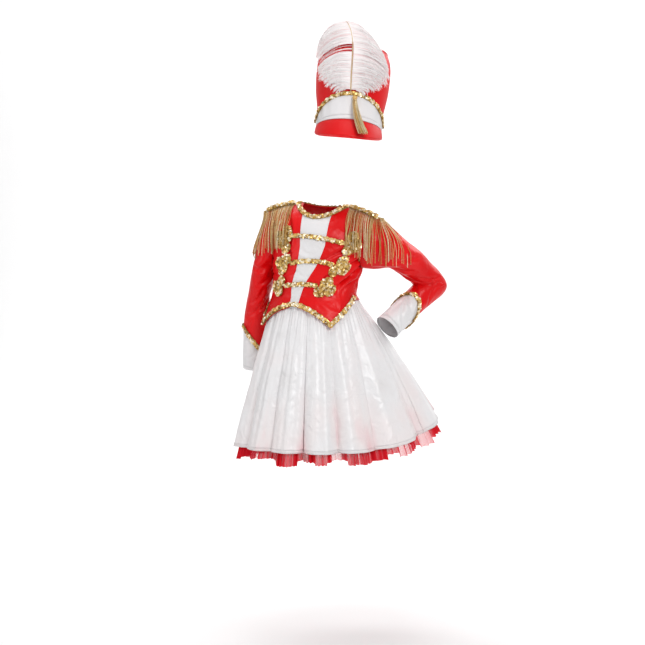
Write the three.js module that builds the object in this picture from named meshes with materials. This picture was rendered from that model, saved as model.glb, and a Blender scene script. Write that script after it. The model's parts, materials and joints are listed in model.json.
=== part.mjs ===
// A child's majorette costume, worn and posed: a long-sleeved dress with a gathered skirt, and a shako.
// Millimetres. +Z is up, the shoulders face -Y, and +X is the wearer's left.
// The origin is the middle of the neck opening, where the dress hangs on its wearer.
// The wearer's right arm hangs, the left one is bent with its wrist at the hip, and every cloth is a thin wall.

import * as THREE from 'three';

const DEG = Math.PI / 180;

// Cloth and trim thicknesses, and the gap left at every seam.
const SATIN = 1.4;
const SKIRT_SATIN = 1.2;
const NET = 1.0;
const SEAM = 0.3;
const BRAID = { width: 13, narrow: 10, thick: 2.2, clear: 0.8, forward: 3.5 };

// Torso heights. Above CHEST_Z the cloth closes over the shoulders like a dome.
const WAIST_Z = -216;
const CHEST_Z = -95;
const DOME_STEPS = 100;
const RIDGE_H = CHEST_Z + DOME_STEPS;
const SHOULDER = { halfWidth: 150, peak: 24, slope: 0.28, round: 30, roll: 0.077, roundness: 1.25 };
const NECK = { halfWidth: 54, frontAngle: 41, backAngle: 61 };
const SHOULDER_TIP = 140;

// Level sections of the bodice: centre, half width, half depths, and its turn about Z in degrees.
const TORSO = [
  { at: -238, cx: -25, cy: -6, wide: 108, front: 88, back: 86, turn: 19 },
  { at: -190, cx: -20, cy: -5, wide: 108, front: 92, back: 88, turn: 14 },
  { at: -140, cx: -13, cy: -3, wide: 114, front: 96, back: 92, turn: 4 },
  { at: -95, cx: -7, cy: -2, wide: 122, front: 94, back: 94, turn: 0 },
];

// The white front inset narrows from the neck to the waist: half its width at each height.
const INSET = [
  { at: -244, half: 9 },
  { at: -190, half: 17 },
  { at: -135, half: 26 },
  { at: -75, half: 33 },
  { at: -20, half: 38 },
];

// The armhole, from the underarm to the shoulder tip: angle round the bodice and height.
const ARMHOLE = [
  { at: 0, front: 90, back: 90, h: -150 },
  { at: 0.16, front: 79, back: 81, h: -143 },
  { at: 0.36, front: 66, back: 70, h: -113 },
  { at: 0.6, front: 58, back: 62, h: -62 },
  { at: 0.84, front: 57, back: 61, h: -14 },
  { at: 1, front: 69, back: 69, h: 5 },
];

// The bodice's lower edge at the front: an arch over the middle, a point at each side, then up to the side seam.
const HEM = { arch: -243, point: -292, side: -227, pointAngle: { left: 43, right: 50 } };

// The skirt: cut length, flare from the vertical in degrees, and how far its folds stand out at the hem.
const SKIRT = { length: 377, inset: 2.6, folds: 13, foldDepth: 13, gathers: 26, gatherDepth: 1.3, bell: 0.05 };
const FLARE = { base: 14, swing: 24, swingAt: 138, swingPower: 1.5, dent: 6, dentAt: -112, dentWidth: 28 };
const PETTICOAT = { reach: 1.085, top: 0.012, gap: 2.2, gapGrowth: 6.5, ruffle: 4.5 };
const FOLD_PHASE = 4.154;

// Gores of skirt and petticoat: the turn where each starts and ends, and the columns of its wall.
const BACK_SEAM = FOLD_PHASE + (6 * 360) / SKIRT.folds;
const GORES = [
  { name: 'front_left', from: FOLD_PHASE, to: 90, columns: 25 },
  { name: 'back_left', from: 90, to: BACK_SEAM, columns: 23 },
  { name: 'back_right', from: BACK_SEAM, to: 270, columns: 29 },
  { name: 'front_right', from: 270, to: 360 + FOLD_PHASE, columns: 27 },
];

// Sections of each sleeve from shoulder to wrist: a point on the outer side, one on the inner side, half depth.
const ARM_RIGHT = {
  side: -1,
  elbow: 4,
  steps: 7,
  cuff: { min: 30, max: 110, peak: 10 },
  sections: [
    { outer: [-158, 2, -62], inner: [-131, 0, -158], half: 44 },
    { outer: [-170, 6, -115], inner: [-131.5, 5, -176], half: 42 },
    { outer: [-184, 12, -165], inner: [-138, 14, -196], half: 40 },
    { outer: [-199, 21, -215], inner: [-146, 26, -224], half: 37 },
    { outer: [-209, 29, -258], inner: [-149, 33, -260], half: 36 },
    { outer: [-215, 38, -305], inner: [-152, 42, -309], half: 34 },
    { outer: [-219, 46, -354], inner: [-158, 50, -358], half: 32 },
    { outer: [-221, 53, -402], inner: [-163, 57, -405], half: 31 },
  ],
};
const ARM_LEFT = {
  side: 1,
  elbow: 3.9,
  steps: 8,
  cuff: { min: 30, max: 103, peak: 115 },
  sections: [
    { outer: [178, 17, -61], inner: [132, 5, -152], half: 44 },
    { outer: [201, 41, -85], inner: [151, 30, -145], half: 41 },
    { outer: [225, 73, -108], inner: [169, 60, -158], half: 38 },
    { outer: [246, 103, -135], inner: [188, 90, -175], half: 37 },
    { outer: [269, 125, -162], inner: [200, 109, -188], half: 37 },
    { outer: [283, 139, -191], inner: [203, 120, -193], half: 37 },
    { outer: [277, 131, -213], inner: [199, 113, -198], half: 36 },
    { outer: [250, 111, -238], inner: [189, 96, -209], half: 35 },
    { outer: [225, 86, -263], inner: [173, 74, -228], half: 33 },
    { outer: [200, 58, -291], inner: [153, 48, -250], half: 32 },
    { outer: [175, 32, -319], inner: [131, 22, -273], half: 31 },
  ],
};

// Three frogs across the front. Each clover has its angle round the bodice, its height and its tilt.
// The bar has its height at its right end, middle and left end.
const FROGS = [
  { name: 'top', left: [48.5, -94.5, -8], right: [-35.5, -88, 10], bar: [-81, -84, -91], lift: 0.65 },
  { name: 'middle', left: [44.5, -146, -22], right: [-34.5, -139, 12], bar: [-138, -132, -141], lift: 0.35 },
  { name: 'bottom', left: [37.5, -197.5, -22], right: [-33.5, -194, 0], bar: [-193, -188, -191], lift: 0.35 },
];
const CLOVER = { lobes: 3, size: 27.5, waist: 0.5, thick: 2.4, steps: 18 };
const FROG_BAR = { width: 12, thick: 2.2, short: 0.96 };

// The shoulder fringe: how many strands on each shoulder, and how they hang.
const FRINGE = {
  straight: 26, wrap: 12, forward: 12, tip: 136, wrapAngle: 100, overhang: 20,
  drops: [8, 34, 72, 112], thick: 1.7, clear: 8, strip: 3,
};

// The hat in its own frame: Z runs up its axis from the middle of its lower edge, and its front faces -Y.
const HAT = { x: 61, y: 5, z: 190, turn: 13, roll: 5, tip: -6, wall: 2, seam: 190 };
const CROWN = [
  { at: 0, wide: 78, deep: 95 },
  { at: 38, wide: 81, deep: 95 },
  { at: 90, wide: 89, deep: 99 },
  { at: 135, wide: 91, deep: 99 },
  { at: 168, wide: 88, deep: 96 },
  { at: 190, wide: 80, deep: 88 },
];
const CROWN_DOME = 19;
const BAND = { spread: 86, low: 7, height: 62, wall: 1.6, off: 2.2 };
const VISOR = { spread: 84, out: 30, drop: 50, wall: 2, tilt: 0.5 };
const TASSEL = {
  at: 4.5, top: 62.8, head: 12, headRadius: 6, off: 9.4,
  strands: 18, length: 84, spread: 13, lean: 26, swing: 28, thick: 1.8,
};

// The plume's quill in the hat's frame, from its root above the braid to its tip over the crown.
const QUILL = [
  { at: 0, x: -4, y: -101.2, z: 74.8, r: 1.7 },
  { at: 0.2, x: -6, y: -107, z: 110, r: 1.6 },
  { at: 0.42, x: -7, y: -109, z: 150, r: 1.5 },
  { at: 0.62, x: -9, y: -105, z: 188, r: 1.3 },
  { at: 0.78, x: -15, y: -95, z: 220, r: 1.1 },
  { at: 0.9, x: -24, y: -80, z: 243, r: 0.9 },
  { at: 1, x: -31, y: -62, z: 254, r: 0.7 },
];
// How the vane spreads along the quill: its width on the wearer's left and right, and how far its barbs droop.
const VANE = [
  { at: 0.02, left: 30, right: 28, droop: 11 },
  { at: 0.1, left: 58, right: 52, droop: 13 },
  { at: 0.2, left: 75, right: 66, droop: 19 },
  { at: 0.33, left: 88, right: 78, droop: 29 },
  { at: 0.5, left: 93, right: 82, droop: 41 },
  { at: 0.7, left: 88, right: 84, droop: 50 },
  { at: 0.85, left: 76, right: 76, droop: 52 },
  { at: 0.93, left: 64, right: 66, droop: 44 },
  { at: 1, left: 42, right: 44, droop: 25 },
];
const HUG = { wide: 99, deep: 104 };
const VANE_WALL = 2.4;

const RED = { color: 0xc8140f, roughness: 0.38, metalness: 0 };
const WHITE = { color: 0xeceaea, roughness: 0.35, metalness: 0 };
const NET_RED = { color: 0xd4202a, roughness: 0.85, metalness: 0 };
const GOLD = { color: 0xc9a13b, roughness: 0.3, metalness: 0.9 };
const FEATHER = { color: 0xefe7e8, roughness: 0.9, metalness: 0 };
const HORN = { color: 0xc9a468, roughness: 0.6, metalness: 0 };

const costume = new THREE.Group();

// Small vector and curve helpers.

const add = (a, b, k = 1) => [a[0] + b[0] * k, a[1] + b[1] * k, a[2] + b[2] * k];
const minus = (a, b) => add(a, b, -1);
const dot = (a, b) => a[0] * b[0] + a[1] * b[1] + a[2] * b[2];
const cross = (a, b) => [a[1] * b[2] - a[2] * b[1], a[2] * b[0] - a[0] * b[2], a[0] * b[1] - a[1] * b[0]];
const unit = (a) => add([0, 0, 0], a, 1 / (Math.hypot(...a) || 1));
const mix = (a, b, t) => a.map((value, i) => value + (b[i] - value) * t);
const lerp = (a, b, t) => a + (b - a) * t;
const clamp = (x, low, high) => Math.min(high, Math.max(low, x));
const range = (n) => Array.from({ length: n }, (_, i) => i);

function smooth(low, high, x) {
  const t = clamp((x - low) / (high - low), 0, 1);
  return t * t * (3 - 2 * t);
}

// A smooth curve through a table's rows, read at x in its "at" column.
function read(table, column, x) {
  const last = table.length - 1;
  const k = clamp(table.findLastIndex((row) => row.at <= x), 0, last - 1);
  const slope = (i) => {
    const a = table[Math.max(i - 1, 0)];
    const b = table[Math.min(i + 1, last)];
    return (b[column] - a[column]) / (b.at - a.at);
  };
  const [a, b] = [table[k], table[k + 1]];
  const span = b.at - a.at;
  const t = clamp((x - a.at) / span, 0, 1);
  const rise = b[column] - a[column];
  const bend = (slope(k) * (1 - t) - slope(k + 1) * t) * span - rise * (1 - 2 * t);
  return a[column] + rise * t + t * (1 - t) * bend;
}

// A closed wall from two grids of points, the outer face and the inner face.
function wall(outer, inner, closed = false) {
  const rows = outer.length;
  const cols = outer[0].length;
  const points = [...outer.flat(), ...inner.flat()];
  const faces = [];
  const quad = (a, b, c, d) => faces.push([a, b, c], [a, c, d]);
  const o = (i, j) => j * cols + (i % cols);
  const n = (i, j) => rows * cols + o(i, j);
  const spans = closed ? cols : cols - 1;
  for (const j of range(rows - 1)) {
    for (const i of range(spans)) {
      quad(o(i, j), o(i + 1, j), o(i + 1, j + 1), o(i, j + 1));
      quad(n(i, j), n(i, j + 1), n(i + 1, j + 1), n(i + 1, j));
    }
  }
  for (const i of range(spans)) {
    quad(n(i, 0), n(i + 1, 0), o(i + 1, 0), o(i, 0));
    quad(o(i, rows - 1), o(i + 1, rows - 1), n(i + 1, rows - 1), n(i, rows - 1));
  }
  if (!closed) {
    for (const j of range(rows - 1)) {
      quad(n(0, j + 1), n(0, j), o(0, j), o(0, j + 1));
      quad(o(cols - 1, j + 1), o(cols - 1, j), n(cols - 1, j), n(cols - 1, j + 1));
    }
  }
  return solid(points, faces);
}

// A mesh geometry from points and triangles, turned to face outwards.
function solid(points, faces) {
  const volume = faces.reduce((sum, [a, b, c]) => sum + dot(points[a], cross(points[b], points[c])), 0);
  const index = volume < 0 ? faces.map(([a, b, c]) => [a, c, b]) : faces;
  const geometry = new THREE.BufferGeometry();
  geometry.setAttribute('position', new THREE.Float32BufferAttribute(points.flat(), 3));
  geometry.setIndex(index.flat());
  return geometry;
}

function piece(name, geometry, look, parent = costume) {
  const shown = geometry.clone();
  shown.computeVertexNormals();
  const mesh = new THREE.Mesh(shown, new THREE.MeshStandardMaterial({ ...look, side: THREE.DoubleSide }));
  mesh.name = name;
  parent.add(mesh);
  return mesh;
}

// The outward unit normal of a surface, by small steps.
function normalOf(surface, u, v, stepU, stepV, flip = 1) {
  const alongU = minus(surface(u + stepU, v), surface(u - stepU, v));
  const alongV = minus(surface(u, v + stepV), surface(u, v - stepV));
  return add([0, 0, 0], unit(cross(alongU, alongV)), flip);
}

// The bodice and skirt surfaces.

const turned = ([x, y], degrees) => {
  const [c, s] = [Math.cos(degrees * DEG), Math.sin(degrees * DEG)];
  return [x * c - y * s, x * s + y * c];
};
const waist = Object.fromEntries(
  ['cx', 'cy', 'wide', 'front', 'back', 'turn'].map((column) => [column, read(TORSO, column, WAIST_Z)]),
);
const heading = (w) => [Math.sin(w * DEG), -Math.cos(w * DEG)];

// How far the waist's edge lies from its centre, in direction w: 0 is the front, 90 the wearer's left.
function waistRadius(w) {
  const [x, y] = turned(heading(w), waist.turn);
  return 1 / Math.hypot(x / waist.wide, y / (y < 0 ? waist.front : waist.back));
}

// The skirt's flare from the vertical. It swings out at the wearer's back left, and the right arm holds it in.
function flare(w) {
  const swing = Math.max(0, Math.cos((w - FLARE.swingAt) * DEG)) ** FLARE.swingPower;
  const away = ((((w - FLARE.dentAt) % 360) + 540) % 360) - 180;
  return FLARE.base + FLARE.swing * swing - FLARE.dent * Math.exp(-((away / FLARE.dentWidth) ** 2));
}

const spread = (w, s) => SKIRT.length * Math.sin(flare(w) * DEG) * (s + SKIRT.bell * Math.sin(Math.PI * s));
const foldDepth = (s) => SKIRT.foldDepth * s ** 1.1;
const gatherDepth = (s) => SKIRT.gatherDepth * smooth(0, 0.06, s) * (1 - smooth(0.15, 0.5, s));

// Broad round folds with narrow valleys, uneven round the skirt.
function foldWave(w) {
  const u = (SKIRT.folds * (w - FOLD_PHASE) * DEG) / 2;
  const uneven = 1 + 0.22 * Math.sin(3 * w * DEG + 0.6) + 0.14 * Math.sin(5 * w * DEG);
  return uneven * (2 * (Math.sin(u) ** 2) ** 0.4 - 1);
}

function skirtPoint(w, s, inward = 0) {
  const gather = gatherDepth(s) * Math.cos(SKIRT.gathers * (w - FOLD_PHASE) * DEG);
  const r = waistRadius(w) - SKIRT.inset - inward + spread(w, s) + foldDepth(s) * foldWave(w) - gather;
  const [x, y] = heading(w);
  return [waist.cx + x * r, waist.cy + y * r, WAIST_Z - SKIRT.length * Math.cos(flare(w) * DEG) * s];
}

// A bodice point at angle t round it from the centre front, and height h. Below the waist it lies on the skirt.
function bodicePoint(t, h) {
  const level = Object.fromEntries(
    Object.keys(waist).map((column) => [column, read(TORSO, column, clamp(h, WAIST_Z, CHEST_Z))]),
  );
  const [sine, cosine] = [Math.sin(t * DEG), Math.cos(t * DEG)];
  const depth = cosine > 0 ? level.front : level.back;
  if (h <= CHEST_Z) {
    const [x, y] = turned([level.wide * sine, -depth * cosine], -level.turn);
    if (h >= WAIST_Z) return [level.cx + x, level.cy + y, h];
    const w = Math.atan2(x, -y) / DEG;
    const s = (WAIST_Z - h) / (SKIRT.length * Math.cos(flare(w) * DEG));
    const over = foldDepth(s) * 1.36 + SKIRT.gatherDepth * smooth(0, 0.06, s) + smooth(0, 0.08, s);
    const r = waistRadius(w) + spread(w, s) + over;
    return [level.cx + heading(w)[0] * r, level.cy + heading(w)[1] * r, h];
  }
  const rise = Math.min(h - CHEST_Z, DOME_STEPS) / DOME_STEPS;
  const [up, round] = [Math.sin((rise * Math.PI) / 2), Math.cos((rise * Math.PI) / 2) ** SHOULDER.roundness];
  const x = lerp(level.wide, SHOULDER.halfWidth, rise) * sine;
  const top = SHOULDER.peak - SHOULDER.slope * Math.hypot(x, SHOULDER.round);
  const z = CHEST_Z + (top - CHEST_Z - SHOULDER.roll * x) * up;
  return [level.cx * (1 - rise) + x, level.cy * (1 - rise) - depth * round * cosine, z];
}

function bodiceNormal(t, h) {
  return normalOf(bodicePoint, t, Math.min(h, RIDGE_H - 0.6), 0.5, 0.5);
}

const bodiceOff = (t, h, off) => add(bodicePoint(t, h), bodiceNormal(t, h), off);

// The angle round the bodice that reaches a distance x from its centre line, at height h.
function angleAt(x, h) {
  const rise = clamp((h - CHEST_Z) / DOME_STEPS, 0, 1);
  const wide = lerp(read(TORSO, 'wide', clamp(h, WAIST_Z, CHEST_Z)), SHOULDER.halfWidth, rise);
  return Math.asin(clamp(x / wide, -1, 1)) / DEG;
}

// The neckline's height at x, at the front or the back, and the armhole's edge.
function neckHeight(x, angle) {
  const sag = Math.sqrt(Math.max(0, 1 - (x / NECK.halfWidth) ** 2));
  return CHEST_Z + (DOME_STEPS * (90 - (90 - angle) * sag)) / 90;
}

function armhole(k, face) {
  const t = read(ARMHOLE, face, k);
  return [face === 'front' ? t : 180 - t, read(ARMHOLE, 'h', k)];
}

// A four-sided patch: its inner points follow its four edges.
function patch(bottom, top, left, right, s, t) {
  const [b, u, l, r] = [bottom(s), top(s), left(t), right(t)];
  const corner = (a, c, k) => lerp(a[k], c[k], s);
  return [0, 1].map(
    (k) =>
      lerp(b[k], u[k], t) +
      lerp(l[k], r[k], s) -
      lerp(corner(bottom(0), bottom(1), k), corner(top(0), top(1), k), t),
  );
}

// A bodice panel on one side of the body, as a wall on the bodice surface. A row of its points lies on the waist.
function bodicePanel(name, side, panel, columns, look) {
  const { hem, waistline, left, right, top } = panel;
  const angles = (row, s) => {
    if (row.below) return mix(hem(s), waistline(s), row.share);
    return patch(waistline, top, left, right, s, row.share);
  };
  const grid = (off) =>
    PANEL_ROWS.map((row) =>
      columns.map((s) => {
        const [t, h] = angles(row, s);
        return bodiceOff(side * t, h, off);
      }),
    );
  return piece(name, wall(grid(SATIN / 2), grid(-SATIN / 2)), look);
}

const seamAngle = (SEAM / 2 / 100 / DEG) * 1.3;
const even = (n) => range(n + 1).map((i) => i / n);

// The share of a panel's outer edge that is side seam, between the waist and the armhole.
const SIDE_SHARE = 0.3;
const ARMHOLE_STEPS = 9;
const PANEL_ROWS = [
  { below: true, share: 0 },
  { below: true, share: 0.5 },
  { share: 0 },
  { share: SIDE_SHARE / 2 },
  ...range(ARMHOLE_STEPS + 1).map((i) => ({ share: lerp(SIDE_SHARE, 1, i / ARMHOLE_STEPS) })),
];

// The outer edge of a panel: up the side seam, then along the armhole.
function outerEdge(face) {
  const back = face === 'front' ? -seamAngle : seamAngle;
  return (k) => {
    if (k < SIDE_SHARE) return [90 + back, lerp(WAIST_Z, armhole(0, face)[1], k / SIDE_SHARE)];
    const [t, h] = armhole((k - SIDE_SHARE) / (1 - SIDE_SHARE), face);
    return [t + back * (1 - smooth(SIDE_SHARE, SIDE_SHARE + 0.1, k)), Math.min(h, RIDGE_H - RIDGE_GAP)];
  };
}

// The share of a panel's top edge that is neckline. The rest is the shoulder seam.
const NECK_SHARE = { front: 0.3, back: 0.5 };
const RIDGE_GAP = 1.1;

function topEdge(face, innerX) {
  const angle = face === 'front' ? NECK.frontAngle : NECK.backAngle;
  const share = NECK_SHARE[face];
  const flipBack = (t) => (face === 'front' ? t : 180 - t);
  const tip = flipBack(armhole(1, face)[0]);
  const neckPoint = angleAt(NECK.halfWidth, RIDGE_H);
  return (s) => {
    if (s >= share) return [flipBack(lerp(neckPoint, tip, (s - share) / (1 - share))), RIDGE_H - RIDGE_GAP];
    const turn = lerp(Math.asin(innerX / NECK.halfWidth), Math.PI / 2, s / share);
    const x = NECK.halfWidth * Math.sin(turn);
    const h = Math.min(neckHeight(x, angle), RIDGE_H - RIDGE_GAP);
    return [flipBack(angleAt(x, h)), h];
  };
}

const insetAngle = (h) => angleAt(read(INSET, 'half', clamp(h, -244, -20)), h);
const NECK_CORNER = neckHeight(38, NECK.frontAngle);

// The front hem's height at an angle to one side: an arch to the point, then up to the side seam.
function hemHeight(t, word) {
  const pointAngle = HEM.pointAngle[word];
  if (t < pointAngle) {
    const k = t / pointAngle;
    return HEM.arch + (HEM.point - HEM.arch) * (0.62 * k ** 2 + 0.38 * k ** 1.4);
  }
  const k = (t - pointAngle) / (90 - pointAngle);
  return lerp(HEM.point, HEM.side, 1 - (1 - k) ** 1.25);
}

const hemAcross = (t) => hemHeight(Math.abs(t), t < 0 ? 'right' : 'left');

function bodice() {
  const start = insetAngle(HEM.arch) + seamAngle;
  const insetEdge = (k) => lerp(WAIST_Z, NECK_CORNER, k);
  const columns = (word) => [0, 0.17, 0.34, (HEM.pointAngle[word] - start) / (90 - start), 0.63, 0.76, 0.88, 1];
  const front = {
    hem: (s, word) => [lerp(start, 90 - seamAngle, s), hemHeight(lerp(start, 90 - seamAngle, s), word)],
    waistline: (s) => [lerp(insetAngle(WAIST_Z) + seamAngle, 90 - seamAngle, s), WAIST_Z],
    left: (k) => [insetAngle(insetEdge(k)) + seamAngle, insetEdge(k)],
    right: outerEdge('front'),
    top: topEdge('front', 38.2),
  };
  const centreBack = 180 - seamAngle;
  const across = (s) => lerp(centreBack, 90 + seamAngle, s);
  const back = {
    hem: (s) => [across(s), HEM.side],
    waistline: (s) => [across(s), WAIST_Z],
    left: (k) => [centreBack, lerp(WAIST_Z, neckHeight(0, NECK.backAngle), k)],
    right: outerEdge('back'),
    top: topEdge('back', 0.3),
  };
  for (const [word, side] of [['left', 1], ['right', -1]]) {
    const hem = (s) => front.hem(s, word);
    bodicePanel(`front_${word}`, side, { ...front, hem }, columns(word), RED);
    bodicePanel(`back_${word}`, side, back, even(8), RED);
  }
  const inset = (off) =>
    PANEL_ROWS.map((row) =>
      even(4).map((s) => {
        const q = 2 * s - 1;
        const foot = [(insetAngle(HEM.arch) - seamAngle) * q, hemAcross(insetAngle(HEM.arch) * q)];
        const waistPoint = [(insetAngle(WAIST_Z) - seamAngle) * q, WAIST_Z];
        if (row.below) return bodiceOff(...mix(foot, waistPoint, row.share), off);
        const edge = insetEdge(row.share);
        const sunk = (NECK_CORNER - neckHeight(38 * q, NECK.frontAngle)) * row.share;
        return bodiceOff((insetAngle(edge) - seamAngle) * q, edge - sunk, off);
      }),
    );
  piece('front_inset', wall(inset(SATIN / 2), inset(-SATIN / 2)), WHITE);
}

// Sleeves and cuffs.

// The sleeve's ring where it joins the armhole, from the tip round the front to the underarm and back.
function armholeRing(side, around) {
  const up = around <= 0.5 ? 1 - around * 2 : around * 2 - 1;
  const face = around <= 0.5 ? 'front' : 'back';
  const [t, h] = armhole(up, face);
  const place = (k) => {
    const [a, b] = armhole(clamp(k, 0, 1), face);
    return bodicePoint(side * a, Math.min(b, RIDGE_H - 0.4));
  };
  const normal = bodiceNormal(side * t, h);
  const edge = unit(minus(place(up + 0.02), place(up - 0.02)));
  const outward = cross(edge, normal).map((c) => c * side * (face === 'front' ? 1 : -1));
  const lapped = add(add([0, 0, 0], normal, 2.3), [0, 0, 1], 0.4);
  const butted = add([0, 0, 0], unit(mix(outward, [side, 0, 0], smooth(0.8, 1, up))), 0.9);
  return { point: add(place(up), mix(lapped, butted, smooth(0.2, 0.5, up))), normal };
}

// The sections with the armhole as the first one, as tables that are read at any row.
function sleeveTables(arm) {
  const tip = armholeRing(arm.side, 0).point;
  const under = armholeRing(arm.side, 0.5).point;
  const all = [{ outer: tip, inner: under, half: 42 }, ...arm.sections];
  return all.map(({ outer, inner, half }, at) => ({
    at, half, ox: outer[0], oy: outer[1], oz: outer[2], ix: inner[0], iy: inner[1], iz: inner[2],
  }));
}

function sleeveSurface(arm) {
  const table = sleeveTables(arm);
  const outerAt = (at) => ['ox', 'oy', 'oz'].map((column) => read(table, column, at));
  const innerAt = (at) => ['ix', 'iy', 'iz'].map((column) => read(table, column, at));
  const centreAt = (at) => mix(outerAt(at), innerAt(at), 0.5);
  const ends = table.length - 1;
  const lengths = [0];
  const fine = 20;
  for (const i of range(ends * fine)) {
    lengths.push(lengths[i] + Math.hypot(...minus(centreAt((i + 1) / fine), centreAt(i / fine))));
  }
  const rowAtEnd = (fromEnd) => {
    const target = lengths.at(-1) - fromEnd;
    const k = lengths.findLastIndex((value) => value <= target);
    return Math.min(ends, (k + (target - lengths[k]) / ((lengths[k + 1] ?? lengths[k] + 1) - lengths[k])) / fine);
  };
  const point = (around, at) => {
    const across = minus(outerAt(at), innerAt(at));
    const along = minus(centreAt(Math.min(at + 0.2, ends)), centreAt(Math.max(at - 0.2, 0)));
    const facing = unit(cross(along, across));
    const front = facing[1] > 0 ? -1 : 1;
    const angle = around * 2 * Math.PI;
    const half = read(table, 'half', at) * front * Math.sin(angle);
    const tube = add(add(centreAt(at), across, Math.cos(angle) / 2), facing, half);
    const joined = smooth(0, 2, at);
    return joined < 1 ? mix(armholeRing(arm.side, around % 1).point, tube, joined) : tube;
  };
  return { point, rowAtEnd, ends };
}

const AROUND = ARMHOLE_STEPS * 2;

// Each sleeve is sewn from two lengths that join above the elbow, this far apart in rows.
const SLEEVE_GAP = 0.01;

const cuffLength = (arm, around) =>
  lerp(arm.cuff.min, arm.cuff.max, (1 + Math.cos(around * 2 * Math.PI - arm.cuff.peak * DEG)) / 2);

// A tube of cloth between two rows of the sleeve, as a closed wall.
function sleeveTube(arm, surface, from, to, steps, joinsArmhole) {
  const grid = (off) =>
    steps.map((k) =>
      range(AROUND).map((i) => {
        const u = i / AROUND;
        const v = lerp(from(u), to(u), k);
        if (joinsArmhole && k === 0) {
          const ring = armholeRing(arm.side, u);
          return add(ring.point, ring.normal, off);
        }
        const step = Math.min(0.12, surface.ends - v + 0.001);
        const wrapped = (a, b) => surface.point((a + 1) % 1, clamp(b, 0.02, surface.ends));
        const alongU = minus(wrapped(u + 0.01, v), wrapped(u - 0.01, v));
        const alongV = minus(wrapped(u, v + step), wrapped(u, v - 0.12));
        const outward = add([0, 0, 0], unit(cross(alongU, alongV)), arm.side > 0 ? -1 : 1);
        return add(wrapped(u, v), outward, off);
      }),
    );
  return wall(grid(SATIN / 2), grid(-SATIN / 2), true);
}

function sleeves() {
  for (const [word, arm] of [['right', ARM_RIGHT], ['left', ARM_LEFT]]) {
    const surface = sleeveSurface(arm);
    const seamRow = (around) => surface.rowAtEnd(cuffLength(arm, around));
    const cuffTop = (around) => surface.rowAtEnd(cuffLength(arm, around) - SEAM * 2);
    const upper = even(arm.steps).map((k) => k ** 1.08);
    const below = () => arm.elbow + SLEEVE_GAP;
    piece(`sleeve_upper_${word}`, sleeveTube(arm, surface, () => 0, () => arm.elbow, upper, true), RED);
    piece(`sleeve_lower_${word}`, sleeveTube(arm, surface, below, seamRow, even(arm.steps - 1), false), RED);
    piece(`cuff_${word}`, sleeveTube(arm, surface, cuffTop, () => surface.ends, even(3), false), WHITE);

    const path = range(AROUND).map((i) => {
      const u = i / AROUND;
      const v = surface.rowAtEnd(cuffLength(arm, u));
      const alongU = minus(surface.point((u + 0.99) % 1, v), surface.point((u + 0.01) % 1, v));
      const alongV = minus(surface.point(u, v + 0.1), surface.point(u, v - 0.1));
      return { point: surface.point(u, v), normal: unit(cross(alongU, alongV).map((c) => c * arm.side)) };
    });
    piece(`cuff_braid_${word}`, braid(path, BRAID.narrow, BRAID.thick, true), GOLD);
  }
}

// A flat strip of sequin braid along a path of points and normals, with scalloped edges.
function braid(path, width, thick, closed) {
  const n = path.length;
  const at = (i) => (closed ? path[(i + n) % n] : path[clamp(i, 0, n - 1)]);
  const low = SATIN / 2 + BRAID.clear;
  const ring = (i) => {
    const { point, normal } = at(i);
    const across = unit(cross(unit(minus(at(i + 1).point, at(i - 1).point)), normal));
    const half = (width / 2) * (i % 2 ? 0.9 : 1.05);
    const corner = (side, off) => add(add(point, across, side * half), normal, off);
    return [corner(-1, low), corner(-0.9, low + thick), corner(0.9, low + thick), corner(1, low)];
  };
  const rings = range(n).map(ring);
  const count = rings[0].length;
  const faces = [];
  for (const i of range(closed ? n : n - 1)) {
    for (const k of range(count)) {
      const [a, b] = [i * count + k, i * count + ((k + 1) % count)];
      const [c, d] = [((i + 1) % n) * count + ((k + 1) % count), ((i + 1) % n) * count + k];
      faces.push([a, b, c], [a, c, d]);
    }
  }
  if (!closed) {
    for (const k of range(count - 2)) {
      faces.push([0, k + 2, k + 1]);
      faces.push([(n - 1) * count, (n - 1) * count + k + 1, (n - 1) * count + k + 2]);
    }
  }
  return solid(rings.flat(), faces);
}

const onBodice = (t, h) => ({ point: bodicePoint(t, h), normal: bodiceNormal(t, h) });

// The dome's point at x that lies so far in front of the shoulder line.
function ahead(side, x, forward) {
  const t = angleAt(x, RIDGE_H);
  const share = (forward / (read(TORSO, 'front', CHEST_Z) * Math.cos(t * DEG))) ** (2 / SHOULDER.roundness);
  return onBodice(side * t, CHEST_Z + (DOME_STEPS * Math.asin(Math.sqrt(1 - share))) / (90 * DEG));
}

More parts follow.
